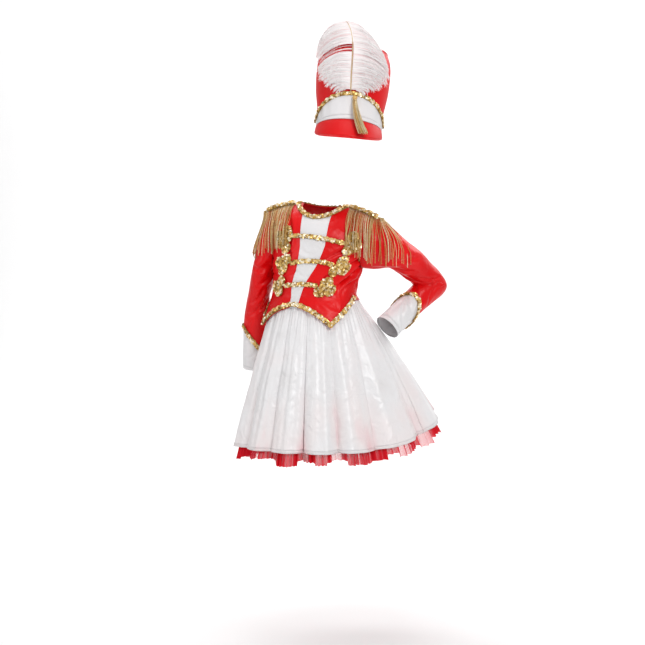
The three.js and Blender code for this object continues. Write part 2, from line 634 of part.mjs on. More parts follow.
function trims() {
  const edge = BRAID.width / 2;
  const neck = range(32).map((i) => {
    const turn = (i / 32) * 2 * Math.PI;
    const x = (NECK.halfWidth + edge) * Math.sin(turn);
    const face = Math.cos(turn) > 0 ? NECK.frontAngle : NECK.backAngle;
    const sag = Math.abs(Math.cos(turn));
    const deep = (90 - face) * sag + (edge / DOME_STEPS) * 90 * sag * 0.5;
    const h = Math.min(CHEST_Z + (DOME_STEPS * (90 - deep)) / 90, RIDGE_H - 0.4);
    const t = angleAt(x, h);
    return onBodice(Math.cos(turn) > 0 ? t : 180 - t, h);
  });
  piece('neck_braid', braid(neck, BRAID.width, BRAID.thick, true), GOLD);

  for (const [word, side] of [['left', 1], ['right', -1]]) {
    const path = even(8).map((k) => {
      const x = lerp(NECK.halfWidth + BRAID.width + 2, SHOULDER_TIP - 2, k);
      return ahead(side, x, BRAID.forward);
    });
    piece(`shoulder_braid_${word}`, braid(path, BRAID.narrow, BRAID.thick, false), GOLD);
  }

  const hem = even(36).map((k) => {
    const t = lerp(-88, 88, k);
    return onBodice(t, hemAcross(t) + edge);
  });
  piece('hem_braid', braid(hem, BRAID.width, BRAID.thick, false), GOLD);

  for (const frog of FROGS) {
    const [right, middle, left] = frog.bar;
    const bend = middle - (left + right) / 2;
    const bar = even(12).map((k) =>
      onBodice(lerp(barEnd(frog.right, -1), barEnd(frog.left, 1), k), lerp(right, left, k) + 4 * k * (1 - k) * bend),
    );
    piece(`frog_bar_${frog.name}`, braid(bar, FROG_BAR.width, FROG_BAR.thick, false), GOLD);
    piece(`frog_end_${frog.name}_left`, clover(frog.left, 1, frog.lift), GOLD);
    piece(`frog_end_${frog.name}_right`, clover(frog.right, -1, frog.lift), GOLD);
  }
}

// The bodice's length for a degree round it, and the angle at which a bar stops short of its clover.
const perDegree = (t, h) => Math.hypot(...minus(bodicePoint(t + 0.5, h), bodicePoint(t - 0.5, h)));

function barEnd([turn, h], side) {
  return turn - (side * CLOVER.size * FROG_BAR.short) / perDegree(turn, h);
}

// A three-lobed sequin end that points outwards, lying on the bodice. It starts where its bar stops.
function clover([turn, h, tilt], side, lift) {
  const low = SATIN / 2 + BRAID.clear + lift;
  const scale = perDegree(turn, h);
  const place = (across, up, off) => bodiceOff(turn + (side * across) / scale, h + up, off);
  const outline = (angle) => {
    const lobe = Math.abs(Math.cos((CLOVER.lobes * (angle - tilt * DEG)) / 2)) ** 0.8;
    return CLOVER.size * lerp(CLOVER.waist, 1, lobe);
  };
  const ring = (share, off) =>
    range(CLOVER.steps).map((i) => {
      const angle = (i / CLOVER.steps) * 2 * Math.PI;
      const r = outline(angle) * share;
      return place(r * Math.cos(angle), r * Math.sin(angle), off);
    });
  const rings = [ring(1, low), ring(1, low + CLOVER.thick * 0.6), ring(0.55, low + CLOVER.thick)];
  const points = [...rings.flat(), place(0, 0, low), place(0, 0, low + CLOVER.thick)];
  const n = CLOVER.steps;
  const faces = [];
  for (const j of range(2)) {
    for (const i of range(n)) {
      const [a, b] = [j * n + i, j * n + ((i + 1) % n)];
      faces.push([a, b, b + n], [a, b + n, a + n]);
    }
  }
  for (const i of range(n)) {
    faces.push([3 * n, (i + 1) % n, i]);
    faces.push([3 * n + 1, 2 * n + i, 2 * n + ((i + 1) % n)]);
  }
  return solid(points, faces);
}

// Skirt and petticoat, each in four gores. The front and back seams lie in valleys between folds.

function skirts() {
  const sideGap = 0.1;
  const rows = [0, 0.06, 0.22, 0.55, 1];
  const netRows = [PETTICOAT.top, 0.2, 0.55, 0.86, PETTICOAT.reach];
  for (const { name, from, to, columns } of GORES) {
    const at = (i) => clamp(lerp(from, to, i / columns), from + sideGap, to - sideGap);
    const satin = (off) =>
      rows.map((s) =>
        range(columns + 1).map((i) => {
          const place = (a, b) => skirtPoint(a, clamp(b, 0, 1.2));
          return add(skirtPoint(at(i), s), normalOf(place, at(i), Math.max(s, 0.02), 0.4, 0.01, -1), off);
        }),
      );
    piece(`skirt_${name}`, wall(satin(SKIRT_SATIN / 2), satin(-SKIRT_SATIN / 2)), WHITE);

    const net = (off) =>
      netRows.map((s) =>
        range(columns + 1).map((i) => {
          const ruffle = PETTICOAT.ruffle * smooth(0.6, 1, s) * (i % 2 ? 1 : -1);
          const gap = PETTICOAT.gap + PETTICOAT.gapGrowth * Math.min(s, 1) + PETTICOAT.ruffle * smooth(0.5, 0.9, s);
          const [x, y] = heading(at(i));
          return add(skirtPoint(at(i), s, gap + ruffle), [x, y, 0], off);
        }),
      );
    piece(`petticoat_${name}`, wall(net(NET / 2), net(-NET / 2)), NET_RED);
  }
}

// Adds a strand of three sides that grows from a triangle of existing points, through its later middles.
function growStrand(points, faces, root, middles, thick) {
  const centre = root.reduce((sum, k) => add(sum, points[k], 1 / 3), [0, 0, 0]);
  let ring = root;
  middles.forEach((middle, step) => {
    const shrink = thick * (step === middles.length - 1 ? 0.7 : 1);
    const next = root.map((k) => {
      points.push(add(middle, unit(minus(points[k], centre)), shrink / 2));
      return points.length - 1;
    });
    for (const k of range(3)) {
      const m = (k + 1) % 3;
      faces.push([ring[k], ring[m], next[m]], [ring[k], next[m], next[k]]);
    }
    ring = next;
  });
  faces.push(ring);
}

// The drops below a root at which a hanging strand is bent, and how far out each bend must stand.
function drape(root, away, beneath) {
  const caster = new THREE.Raycaster();
  const far = 160;
  const needed = (drop) => {
    const line = add(root, [0, 0, -1], drop);
    caster.set(new THREE.Vector3(...add(line, away, far)), new THREE.Vector3(...away).negate());
    const hit = caster.intersectObjects(beneath, false)[0];
    return hit ? far - hit.distance + FRINGE.clear : 0;
  };
  const drops = [0, ...FRINGE.drops];
  const outs = drops.map((drop) => (drop ? needed(drop) : 0));
  for (const k of range(drops.length - 1)) {
    outs[k + 1] = Math.max(outs[k + 1], outs[k]);
    for (const share of [0.25, 0.5, 0.75]) {
      const short = needed(lerp(drops[k], drops[k + 1], share)) - lerp(outs[k], outs[k + 1], share) - 3.2;
      if (short > 0) outs[k + 1] += short / share;
    }
  }
  return drops.slice(1).map((drop, k) => add(add(root, away, outs[k + 1]), [0, 0, -1], drop));
}

// A comb: a narrow strip along the shoulder whose strands grow out of its lower side.
function comb(roots, beneath) {
  const n = roots.length;
  const points = [];
  const seats = range(n + 1).map((i) => {
    const [a, b] = [roots[Math.max(i - 1, 0)], roots[Math.min(i, n - 1)]];
    const over = i === 0 || i === n ? 0.5 : 0;
    const middle = mix(a.point, b.point, 0.5);
    const step = i === 0 ? minus(roots[0].point, roots[1].point) : minus(roots[n - 1].point, roots[n - 2].point);
    return { point: add(middle, step, over), away: unit(mix(a.away, b.away, 0.5)) };
  });
  const { thick, strip } = FRINGE;
  const faces = [];
  for (const { point, away } of seats) {
    const back = add(point, away, -thick);
    points.push(point, add(point, [0, 0, 1], strip), add(back, [0, 0, 1], strip), back);
  }
  const at = (i, k) => i * 4 + k;
  for (const i of range(n)) {
    points.push(mix(points[at(i, 3)], points[at(i + 1, 3)], 0.5));
    const hinge = points.length - 1;
    const [front, next, back, nextBack] = [at(i, 0), at(i + 1, 0), at(i, 3), at(i + 1, 3)];
    faces.push([front, next, next + 1], [front, next + 1, front + 1]);
    faces.push([front + 1, next + 1, next + 2], [front + 1, next + 2, front + 2]);
    faces.push([back - 1, nextBack - 1, nextBack], [back - 1, nextBack, hinge], [back - 1, hinge, back]);
    faces.push([next, hinge, nextBack], [front, back, hinge]);
    const middle = add(mix(points[front], points[next], 0.5), roots[i].away, -thick / 2);
    growStrand(points, faces, [next, front, hinge], drape(middle, roots[i].away, beneath), thick);
  }
  faces.push([at(0, 0), at(0, 1), at(0, 2)], [at(0, 0), at(0, 2), at(0, 3)]);
  faces.push([at(n, 0), at(n, 2), at(n, 1)], [at(n, 0), at(n, 3), at(n, 2)]);
  return solid(points, faces);
}

function fringes() {
  costume.updateMatrixWorld(true);
  for (const [word, side] of [['left', 1], ['right', -1]]) {
    const beneath = ['front', 'sleeve_upper', 'back'].map((kind) => costume.getObjectByName(`${kind}_${word}`));
    beneath.push(...FROGS.map((frog) => costume.getObjectByName(`frog_end_${frog.name}_${word}`)));
    const lift = SATIN / 2 + BRAID.clear + 0.8;
    const tip = ahead(side, FRINGE.tip, FRINGE.forward);
    const reach = -tip.point[1];
    const roots = [
      ...even(FRINGE.straight - 1).map((k) => {
        const seat = ahead(side, lerp(NECK.halfWidth + BRAID.width + 4, FRINGE.tip, k), FRINGE.forward);
        return { point: add(seat.point, seat.normal, lift), away: [0, -1, 0] };
      }),
      ...range(FRINGE.wrap).map((i) => {
        const turn = (FRINGE.wrapAngle * (i + 1) * DEG) / FRINGE.wrap;
        const across = side * (FRINGE.overhang * Math.sin(turn) + 1.5);
        const swing = [across, reach - (reach + lift) * Math.cos(turn), lift - 4 * Math.sin(turn)];
        return { point: add(tip.point, swing), away: [side * Math.sin(turn), -Math.cos(turn), 0] };
      }),
    ];
    piece(`fringe_${word}`, comb(roots, beneath), GOLD);
  }
}

// The hat, in its own group.

function hat() {
  const shako = new THREE.Group();
  shako.position.set(HAT.x, HAT.y, HAT.z);
  shako.rotation.order = 'ZYX';
  shako.rotation.set(HAT.tip * DEG, HAT.roll * DEG, HAT.turn * DEG);
  costume.add(shako);

  // A point on the crown at angle a from its front and height z, moved out by off.
  const crownPoint = (a, z, off = 0) => {
    const wide = read(CROWN, 'wide', z) + off;
    const deep = read(CROWN, 'deep', z) + off;
    return [wide * Math.sin(a * DEG), -deep * Math.cos(a * DEG), z];
  };
  const around = 30;
  const levels = [0, 45, 90, 130, 156, 176, HAT.seam];
  const seamTurn = 0.1;
  for (const [word, start] of [['left', 0], ['right', 180]]) {
    const turns = even(around / 2).map((k) => start + clamp(k * 180, seamTurn, 180 - seamTurn));
    const side = (off) => levels.map((z) => turns.map((a) => crownPoint(a, z, off)));
    piece(`hat_side_${word}`, wall(side(0), side(-HAT.wall)), RED, shako);
  }

  const topRings = [1, 0.86, 0.5];
  const dome = (off) =>
    topRings.map((share) =>
      range(around).map((i) => {
        const [x, y] = crownPoint((i / around) * 360, HAT.seam);
        return [x * share, y * share, HAT.seam + SEAM + CROWN_DOME * (1 - share ** 2.6) ** 0.8 + off];
      }),
    );
  piece('hat_top', capped(dome(HAT.wall), dome(0)), RED, shako);

  const bandTop = (a) => BAND.low + 3 + BAND.height * Math.cos((a * 90 * DEG) / (BAND.spread + 2));
  const bandLow = (a) => BAND.low * Math.cos(a * DEG);
  const band = (off) =>
    even(3).map((k) =>
      even(22).map((s) => {
        const a = lerp(-BAND.spread, BAND.spread, s);
        return crownPoint(a, lerp(bandLow(a) + SEAM, bandTop(a), k), off);
      }),
    );
  piece('hat_band', wall(band(BAND.off + BAND.wall / 2), band(BAND.off - BAND.wall / 2)), WHITE, shako);

  // The peak leaves the lower edge of the band and falls steeply over the brow.
  const peak = (off) =>
    even(3).map((k) =>
      even(22).map((s) => {
        const a = lerp(-VISOR.spread, VISOR.spread, s);
        const size = Math.cos((a * 90 * DEG) / (VISOR.spread + 1)) ** 0.5;
        const start = crownPoint(a, bandLow(a) * 0.99, BAND.off);
        const reach = VISOR.out * size * k ** 0.8;
        const drop = 1.4 + VISOR.drop * size * k ** 1.15;
        const [x, y] = [Math.sin(a * DEG), -Math.cos(a * DEG)];
        return [start[0] + x * (reach * 0.35 + off), start[1] + y * (reach + off), start[2] - drop + off * VISOR.tilt];
      }),
    );
  piece('hat_visor', wall(peak(VISOR.wall / 2), peak(-VISOR.wall / 2)), RED, shako);

  const lift = BAND.off + BAND.wall / 2 - SATIN / 2;
  const arch = even(32).map((k) => {
    const a = lerp(-BAND.spread + 1, BAND.spread - 1, k);
    const z = bandTop(a) - 3;
    const place = (u, v) => crownPoint(u, v, lift);
    return { point: place(a, z), normal: normalOf(place, a, Math.max(z, 1), 0.5, 0.5) };
  });
  piece('hat_braid', braid(arch, BRAID.narrow, BRAID.thick, false), GOLD, shako);

  plume(shako);
  tassel(shako, crownPoint);
}

// A dome whose rings close at a middle point on both faces.
function capped(outer, inner) {
  const rows = outer.length;
  const n = outer[0].length;
  const middle = (ring) => [0, 0, ring[0][2] + (ring[0][2] - outer[0][0][2]) * 0.02 + 0.4];
  const points = [...outer.flat(), ...inner.flat(), middle(outer.at(-1)), middle(inner.at(-1))];
  const faces = [];
  const o = (i, j) => j * n + (i % n);
  const m = (i, j) => rows * n + o(i, j);
  for (const j of range(rows - 1)) {
    for (const i of range(n)) {
      faces.push([o(i, j), o(i + 1, j), o(i + 1, j + 1)], [o(i, j), o(i + 1, j + 1), o(i, j + 1)]);
      faces.push([m(i, j), m(i + 1, j + 1), m(i + 1, j)], [m(i, j), m(i, j + 1), m(i + 1, j + 1)]);
    }
  }
  for (const i of range(n)) {
    faces.push([m(i, 0), m(i + 1, 0), o(i + 1, 0)], [m(i, 0), o(i + 1, 0), o(i, 0)]);
    faces.push([o(i, rows - 1), o(i + 1, rows - 1), 2 * rows * n]);
    faces.push([m(i, rows - 1), 2 * rows * n + 1, m(i + 1, rows - 1)]);
  }
  return solid(points, faces);
}

const QUILL_SIDES = 6;
const vaneStation = (k) => lerp(0.04, 0.985, k);
const quillPoint = (s) => ['x', 'y', 'z'].map((column) => read(QUILL, column, s));

// A point on the vane: s along the quill, q along a barb, which arches out, droops and wraps round the crown.
function vanePoint(s, q, side, lift = 0) {
  const wide = read(VANE, side > 0 ? 'left' : 'right', s);
  const [x, y, z] = quillPoint(s);
  const root = read(QUILL, 'r', s) + SEAM * 1.4;
  const out = root + ((wide - root) * Math.sin(q * 1.15)) / Math.sin(1.15);
  const up = 0.16 * wide * Math.sin(q * 2.2) - read(VANE, 'droop', s) * q ** 2;
  const behind = (at) => HUG.deep * (1 - Math.sqrt(1 - Math.min(Math.abs(at) / HUG.wide, 0.98) ** 2));
  return [x + side * out, y + behind(x + side * out) - behind(x) - lift, z + up];
}

function plume(shako) {
  const stations = [0, ...even(11).map(vaneStation), 1];
  const rings = stations.map((s) => {
    const along = unit(minus(quillPoint(Math.min(s + 0.02, 1)), quillPoint(Math.max(s - 0.02, 0))));
    const up = cross([1, 0, 0], along);
    const r = read(QUILL, 'r', s);
    return range(QUILL_SIDES).map((i) => {
      const a = ((i * 360) / QUILL_SIDES) * DEG;
      return add(add(quillPoint(s), unit(cross(along, up)), r * Math.cos(a)), unit(up), r * Math.sin(a));
    });
  });
  const flat = rings.flat();
  const faces = [];
  for (const j of range(rings.length - 1)) {
    for (const i of range(QUILL_SIDES)) {
      const [a, b] = [j * QUILL_SIDES + i, j * QUILL_SIDES + ((i + 1) % QUILL_SIDES)];
      faces.push([a, b, b + QUILL_SIDES], [a, b + QUILL_SIDES, a + QUILL_SIDES]);
    }
  }
  const end = (rings.length - 1) * QUILL_SIDES;
  for (const i of range(QUILL_SIDES - 2)) {
    faces.push([0, i + 2, i + 1], [end, end + i + 1, end + i + 2]);
  }
  piece('plume_quill', solid(flat, faces), HORN, shako);

  // Each vane's edge is notched, as its barbs end in tufts.
  for (const [word, side] of [['left', 1], ['right', -1]]) {
    const grid = (off) =>
      even(22).map((k) =>
        [0, 0.25, 0.52, 0.78, 1].map((q) => {
          const tuft = q === 1 ? (Math.round(k * 22) % 2 ? 1.04 : 0.93) : q;
          return vanePoint(vaneStation(k), tuft, side, off);
        }),
      );
    piece(`plume_vane_${word}`, wall(grid(VANE_WALL / 2), grid(-VANE_WALL / 2)), FEATHER, shako);
  }
}

// The tassel hangs from the braid over the band and the peak: a bound head and loose strands fused into it.
function tassel(shako, crownPoint) {
  const [x, y] = crownPoint(TASSEL.at, TASSEL.top, TASSEL.off);
  const n = TASSEL.strands * 2;
  const ring = (z, r) =>
    range(n).map((i) => {
      const a = (i / n) * 2 * Math.PI;
      return [x + r * Math.cos(a), y + r * Math.sin(a), z];
    });
  const low = TASSEL.top - TASSEL.head;
  const points = [...ring(TASSEL.top, TASSEL.headRadius * 0.7), ...ring(low, TASSEL.headRadius)];
  points.push([x, y, TASSEL.top + 0.2], [x, y, low]);
  const faces = [];
  for (const i of range(n)) {
    const m = (i + 1) % n;
    faces.push([i, m, 2 * n], [n + i, n + m, m], [n + i, m, i]);
    if (i % 2) {
      faces.push([n + m, n + i, 2 * n + 1]);
      continue;
    }
    const a = ((i + 0.5) / n) * 2 * Math.PI;
    const middles = [0.12, 0.5, 1].map((k) => [
      x + Math.cos(a) * lerp(TASSEL.headRadius * 0.8, TASSEL.spread, k ** 0.8) + TASSEL.lean * k ** 1.5,
      y + Math.sin(a) * TASSEL.headRadius * lerp(0.8, 1.1, k) - TASSEL.swing * k ** 1.4,
      low - TASSEL.length * k * (1 - 0.05 * ((i / 2) % 3)),
    ]);
    growStrand(points, faces, [n + m, n + i, 2 * n + 1], middles, TASSEL.thick);
  }
  piece('hat_tassel', solid(points, faces), GOLD, shako);
}

bodice();
sleeves();
trims();
skirts();
fringes();
hat();

export default costume;
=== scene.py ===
# A child's majorette costume over its frame: satin, net, sequin braid, cord fringe and an ostrich plume.
# Lengths in the tables are millimetres and angles are degrees; meshes are written in metres.
import json
import math

import bpy
import numpy as np
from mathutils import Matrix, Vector
from mathutils.bvhtree import BVHTree

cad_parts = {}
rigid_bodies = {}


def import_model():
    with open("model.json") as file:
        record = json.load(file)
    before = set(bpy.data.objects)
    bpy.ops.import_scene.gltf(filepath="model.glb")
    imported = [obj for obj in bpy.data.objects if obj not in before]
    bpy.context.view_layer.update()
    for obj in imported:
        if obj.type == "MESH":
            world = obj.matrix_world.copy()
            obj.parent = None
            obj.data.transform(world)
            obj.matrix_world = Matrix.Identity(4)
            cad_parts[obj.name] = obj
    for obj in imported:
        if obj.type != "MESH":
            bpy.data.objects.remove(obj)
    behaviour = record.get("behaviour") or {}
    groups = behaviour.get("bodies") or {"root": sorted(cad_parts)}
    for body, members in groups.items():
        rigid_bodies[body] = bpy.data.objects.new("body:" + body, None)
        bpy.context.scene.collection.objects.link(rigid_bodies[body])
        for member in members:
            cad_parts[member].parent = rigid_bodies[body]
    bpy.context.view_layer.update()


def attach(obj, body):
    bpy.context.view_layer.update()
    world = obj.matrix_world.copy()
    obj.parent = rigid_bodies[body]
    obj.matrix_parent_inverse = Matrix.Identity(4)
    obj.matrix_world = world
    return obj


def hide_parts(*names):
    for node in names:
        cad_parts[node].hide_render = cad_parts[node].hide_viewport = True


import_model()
scene = bpy.context.scene
metre = 0.001  # one millimetre in metres

studio = {
    "turn": 13.0, "distance": 3.6, "height": -0.1, "pixel": 0.00246, "image": 645, "origin": (324.0, 207.0),
    "sky": 0.46, "paper": (0.9, 0.9, 0.9, 1), "rough": 0.95,
}
# the floor: how far it comes forward, where it starts to bend up, how far it bends, and half its width
ground = {"level": -1.06, "near": -6, "bendAt": 2.6, "bend": 1.6, "top": [3.2, 6.0], "half": 7}
# each lamp: its place, the point it looks at, its size and its power
aim = (0, 0, -0.15)
lamps = {
    "keyLight": ((2.1, -2.8, 1.5), aim, 1.3, 56.0),
    "fillLight": ((-3.0, -2.2, 0.6), aim, 2.0, 24.0),
    "topLight": ((0.2, -0.6, 2.9), aim, 1.8, 24.0),
    "rimLight": ((1.4, 2.2, 1.4), aim, 1.4, 18.0),
    "backdropLight": ((-0.8, 1.4, 2.6), (-0.8, 4.2, 0.2), 2.4, 95.0),
}


def areaLight(name, place, target, size, power):
    data = bpy.data.lights.new(name, "AREA")
    data.shape = "DISK"
    data.size = size
    data.energy = power
    lamp = bpy.data.objects.new(name, data)
    lamp.location = place
    lamp.rotation_euler = (Vector(target) - Vector(place)).to_track_quat("-Z", "Y").to_euler()
    scene.collection.objects.link(lamp)


def setCamera():
    turn = math.radians(studio["turn"])
    across = studio["image"] * studio["pixel"]  # width seen at the costume's distance
    middle = studio["image"] / 2
    data = bpy.data.cameras.new("photoCamera")
    data.angle = 2 * math.atan(across / 2 / studio["distance"])
    data.shift_x = (middle - studio["origin"][0]) * studio["pixel"] / across
    data.shift_y = ((studio["origin"][1] - middle) * studio["pixel"] - studio["height"]) / across
    camera = bpy.data.objects.new("photoCamera", data)
    far = studio["distance"]
    camera.location = (far * math.sin(turn), -far * math.cos(turn), studio["height"])
    camera.rotation_euler = (math.radians(90), 0, turn)
    scene.collection.objects.link(camera)
    scene.camera = camera


def setStudio():
    # a pale floor that curves up into a backdrop: one profile carried sideways
    start, bend = ground["bendAt"], ground["bend"]
    turn = np.linspace(0.1, 1.57, 10)
    depth = np.concatenate([np.linspace(ground["near"], start, 12), start + bend * np.sin(turn), [4.2, 4.2]])
    rise = np.concatenate([np.zeros(12), bend * (1 - np.cos(turn)), ground["top"]])
    width = np.linspace(-ground["half"], ground["half"], 8)
    points = xyz(width[None, :], depth[:, None], rise[:, None] + ground["level"])
    faces = gridFaces(*points.shape[:2])
    mesh = bpy.data.meshes.new("floor")
    mesh.from_pydata(points.reshape(-1, 3).tolist(), [], faces.tolist())
    mesh.polygons.foreach_set("use_smooth", np.ones(len(faces), bool))
    floor = bpy.data.objects.new("floor", mesh)
    scene.collection.objects.link(floor)
    paper = bpy.data.materials.new("paper")
    paper.use_nodes = True
    shader = paper.node_tree.nodes["Principled BSDF"]
    shader.inputs["Base Color"].default_value = studio["paper"]
    shader.inputs["Roughness"].default_value = studio["rough"]
    mesh.materials.append(paper)
    world = bpy.data.worlds.new("studio")
    world.use_nodes = True
    light = world.node_tree.nodes["Background"].inputs
    light["Color"].default_value = (1, 1, 1, 1)
    light["Strength"].default_value = studio["sky"]
    scene.world = world
    for name, lamp in lamps.items():
        areaLight(name, *lamp)
    scene.view_settings.view_transform = "Standard"


# Curves through tables, and small array helpers.


def tableOf(columns, rows):
    grid = np.array(rows, float)
    return {name: grid[:, i] for i, name in enumerate(columns.split())}


def read(table, column, x):
    # a smooth cubic through the table's rows, with each row's slope taken from its neighbours
    at, value = table["at"], table[column]
    slope = np.empty_like(value)
    slope[1:-1] = (value[2:] - value[:-2]) / (at[2:] - at[:-2])
    slope[0] = (value[1] - value[0]) / (at[1] - at[0])
    slope[-1] = (value[-1] - value[-2]) / (at[-1] - at[-2])
    x = np.asarray(x, float)
    k = np.clip(np.searchsorted(at, x, side="right") - 1, 0, len(at) - 2)
    span = at[k + 1] - at[k]
    t = np.clip((x - at[k]) / span, 0, 1)
    rise = value[k + 1] - value[k]
    bend = (slope[k] * (1 - t) - slope[k + 1] * t) * span - rise * (1 - 2 * t)
    return value[k] + rise * t + t * (1 - t) * bend


def lerp(a, b, t):
    return a + (b - a) * t


def smooth(low, high, x):
    t = np.clip((np.asarray(x, float) - low) / (high - low), 0, 1)
    return t * t * (3 - 2 * t)


def unit(v):
    return v / np.maximum(np.linalg.norm(v, axis=-1, keepdims=True), 1e-9)


def sinD(x):
    return np.sin(np.radians(x))


def cosD(x):
    return np.cos(np.radians(x))


def xyz(x, y, z):
    return np.stack(np.broadcast_arrays(x, y, z), -1)


def softNoise(x, y, seed):
    # value noise: random heights on a lattice of side 1, joined by smoothsteps, from about -1 to 1
    heights = np.random.default_rng(seed).uniform(-1, 1, (64, 64))
    i, j = np.floor(x).astype(int), np.floor(y).astype(int)
    u, v = smooth(0, 1, x - i), smooth(0, 1, y - j)
    corner = lambda a, b: heights[(i + a) % 64, (j + b) % 64]
    low = lerp(corner(0, 0), corner(1, 0), u)
    return lerp(low, lerp(corner(0, 1), corner(1, 1), u), v)


def creases(x, y, rows):
    # soft troughs from (x0, y0) to (x1, y1), each with a low ridge on one side, fading out at both ends
    total = np.zeros(np.broadcast(x, y).shape)
    for x0, y0, x1, y1, width, depth in rows:
        dx, dy = x1 - x0, y1 - y0
        length = math.hypot(dx, dy)
        along = ((x - x0) * dx + (y - y0) * dy) / length**2
        bow = 0.12 * length * np.sin(math.pi * np.clip(along, 0, 1))
        off = ((x - x0) * dy - (y - y0) * dx) / length - bow
        fade = np.sin(math.pi * np.clip(along * 0.92 + 0.04, 0, 1)) ** 0.7 * ((along > 0) & (along < 1))
        total -= depth * fade * np.exp(-((off / width) ** 2))
        total += 0.42 * depth * fade * np.exp(-(((off - 1.7 * width) / width) ** 2))
    return total


def ringOf(first, second, turn):
    # points round a middle at the given turns, in the plane of two directions
    return first[..., None, :] * np.cos(turn)[..., None] + second[..., None, :] * np.sin(turn)[..., None]


# Meshes from arrays.


def gridFaces(rows, columns, closed=False, start=0):
    across = columns if closed else columns - 1
    j, i = np.meshgrid(np.arange(rows - 1), np.arange(across), indexing="ij")
    a, b = j * columns + i, j * columns + (i + 1) % columns
    return start + np.stack([a.ravel(), b.ravel(), (b + columns).ravel(), (a + columns).ravel()], 1)


def gridNormals(points, closed=False):
    # the cross product of the grid's two directions
    if closed:
        alongU = np.roll(points, -1, 1) - np.roll(points, 1, 1)
    else:
        alongU = np.gradient(points, axis=1)
    return unit(np.cross(alongU, np.gradient(points, axis=0)))


def buildPiece(name, parts, materials, nodes, thickness=0.0, smoothed=True):
    # joins parts into one mesh; a part has points, faces, and if it has them a uv, a tone and a material slot
    points, loops, starts, uvs, tones, slots, corners = [], [], [], [], [], [], 0
    offset = 0
    for part in parts:
        p, f = part["points"].reshape(-1, 3), part["faces"]
        points.append(p)
        loops.append((f + offset).ravel())
        starts.append(corners + np.arange(len(f)) * f.shape[1])
        corners += f.size
        uvs.append(part.get("uv", p[:, :2] * metre).reshape(-1, 2)[f.ravel()])
        tones.append(np.broadcast_to(part.get("tone", 0.5), (len(p),)).astype(float))
        slots.append(np.full(len(f), part.get("slot", 0)))
        offset += len(p)
    mesh = bpy.data.meshes.new(name)
    mesh.vertices.add(offset)
    mesh.vertices.foreach_set("co", (np.concatenate(points) * metre).astype(np.float32).ravel())
    mesh.loops.add(corners)
    mesh.loops.foreach_set("vertex_index", np.concatenate(loops).astype(np.int32))
    mesh.polygons.add(sum(len(s) for s in starts))
    mesh.polygons.foreach_set("loop_start", np.concatenate(starts).astype(np.int32))
    mesh.update(calc_edges=True)
    mesh.polygons.foreach_set("use_smooth", np.full(len(mesh.polygons), smoothed))
    mesh.polygons.foreach_set("material_index", np.concatenate(slots).astype(np.int32))
    layer = mesh.uv_layers.new(name="cut")
    layer.data.foreach_set("uv", np.concatenate(uvs).astype(np.float32).ravel())
    tone = mesh.attributes.new("tone", "FLOAT", "POINT")
    tone.data.foreach_set("value", np.concatenate(tones).astype(np.float32))
    for material in materials:
        mesh.materials.append(material)
    mesh.validate()
    piece = bpy.data.objects.new(name, mesh)
    scene.collection.objects.link(piece)
    if thickness:
        wall = piece.modifiers.new("wall", "SOLIDIFY")
        wall.thickness = thickness * metre
        wall.offset = 0
    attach(piece, "root")
    if nodes:
        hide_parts(*nodes)
    return piece


def clothPart(points, outward, closed=False, tone=0.5, uv=None, slot=0):
    # a grid of cloth whose faces look the way that outward says
    rows, columns = points.shape[:2]
    faces = gridFaces(rows, columns, closed)
    if np.mean(np.sum(gridNormals(points, closed) * outward, -1)) < 0:
        faces = faces[:, ::-1]
    if uv is None:
        uv = clothUv(points)
    tone = np.broadcast_to(tone, (rows, columns)).ravel()
    return {"points": points, "faces": faces, "tone": tone, "uv": uv, "slot": slot}


def clothUv(points):
    # real lengths along the grid: u across from the middle column, v up from the first row, in metres
    alongU = np.linalg.norm(np.diff(points, axis=1), axis=-1).mean(0)
    alongV = np.linalg.norm(np.diff(points, axis=0), axis=-1).mean(1)
    u = np.concatenate([[0], np.cumsum(alongU)]) * metre
    v = np.concatenate([[0], np.cumsum(alongV)]) * metre
    return np.stack(np.broadcast_arrays(u[None, :], v[:, None]), -1)


# Shader groups and materials.


def feed(tree, node, values):
    # sets a node's inputs: a socket is linked, anything else becomes the input's own value
    for label, value in values.items():
        if isinstance(value, bpy.types.NodeSocket):
            tree.links.new(value, node.inputs[label])
        else:
            node.inputs[label].default_value = value
    return node


def newNode(tree, kind, values, **settings):
    node = tree.nodes.new(f"ShaderNode{kind}")
    for name, value in settings.items():
        setattr(node, name, value)
    return feed(tree, node, values)


def newGroup(name, inputs, outputs):
    # an input without a value is a vector, all others and the outputs are numbers
    group = bpy.data.node_groups.new(name, "ShaderNodeTree")
    for label, value in inputs.items():
        kind = "NodeSocketVector" if value is None else "NodeSocketFloat"
        socket = group.interface.new_socket(label, in_out="INPUT", socket_type=kind)
        if value is not None:
            socket.default_value = value
    for label in outputs:
        group.interface.new_socket(label, in_out="OUTPUT", socket_type="NodeSocketFloat")
    return group, group.nodes.new("NodeGroupInput").outputs, group.nodes.new("NodeGroupOutput")


def mathNode(tree, operation, a, b=None, clamp=False):
    values = {0: a} if b is None else {0: a, 1: b}
    return newNode(tree, "Math", values, operation=operation, use_clamp=clamp).outputs[0]


def scaled(tree, value, factor, start):
    return mathNode(tree, "ADD", mathNode(tree, "MULTIPLY", value, factor), start)


def mixed(tree, first, share, second, other):
    # the sum of two values, each times its share
    return mathNode(
        tree, "ADD", mathNode(tree, "MULTIPLY", first, share), mathNode(tree, "MULTIPLY", second, other)
    )


def shaded(tree, tone, pattern, share):
    # a tone that goes up and down with a pattern that lies about 0.5
    pattern = mathNode(tree, "MULTIPLY", mathNode(tree, "SUBTRACT", pattern, 0.5), share)
    return mathNode(tree, "ADD", tone, pattern)


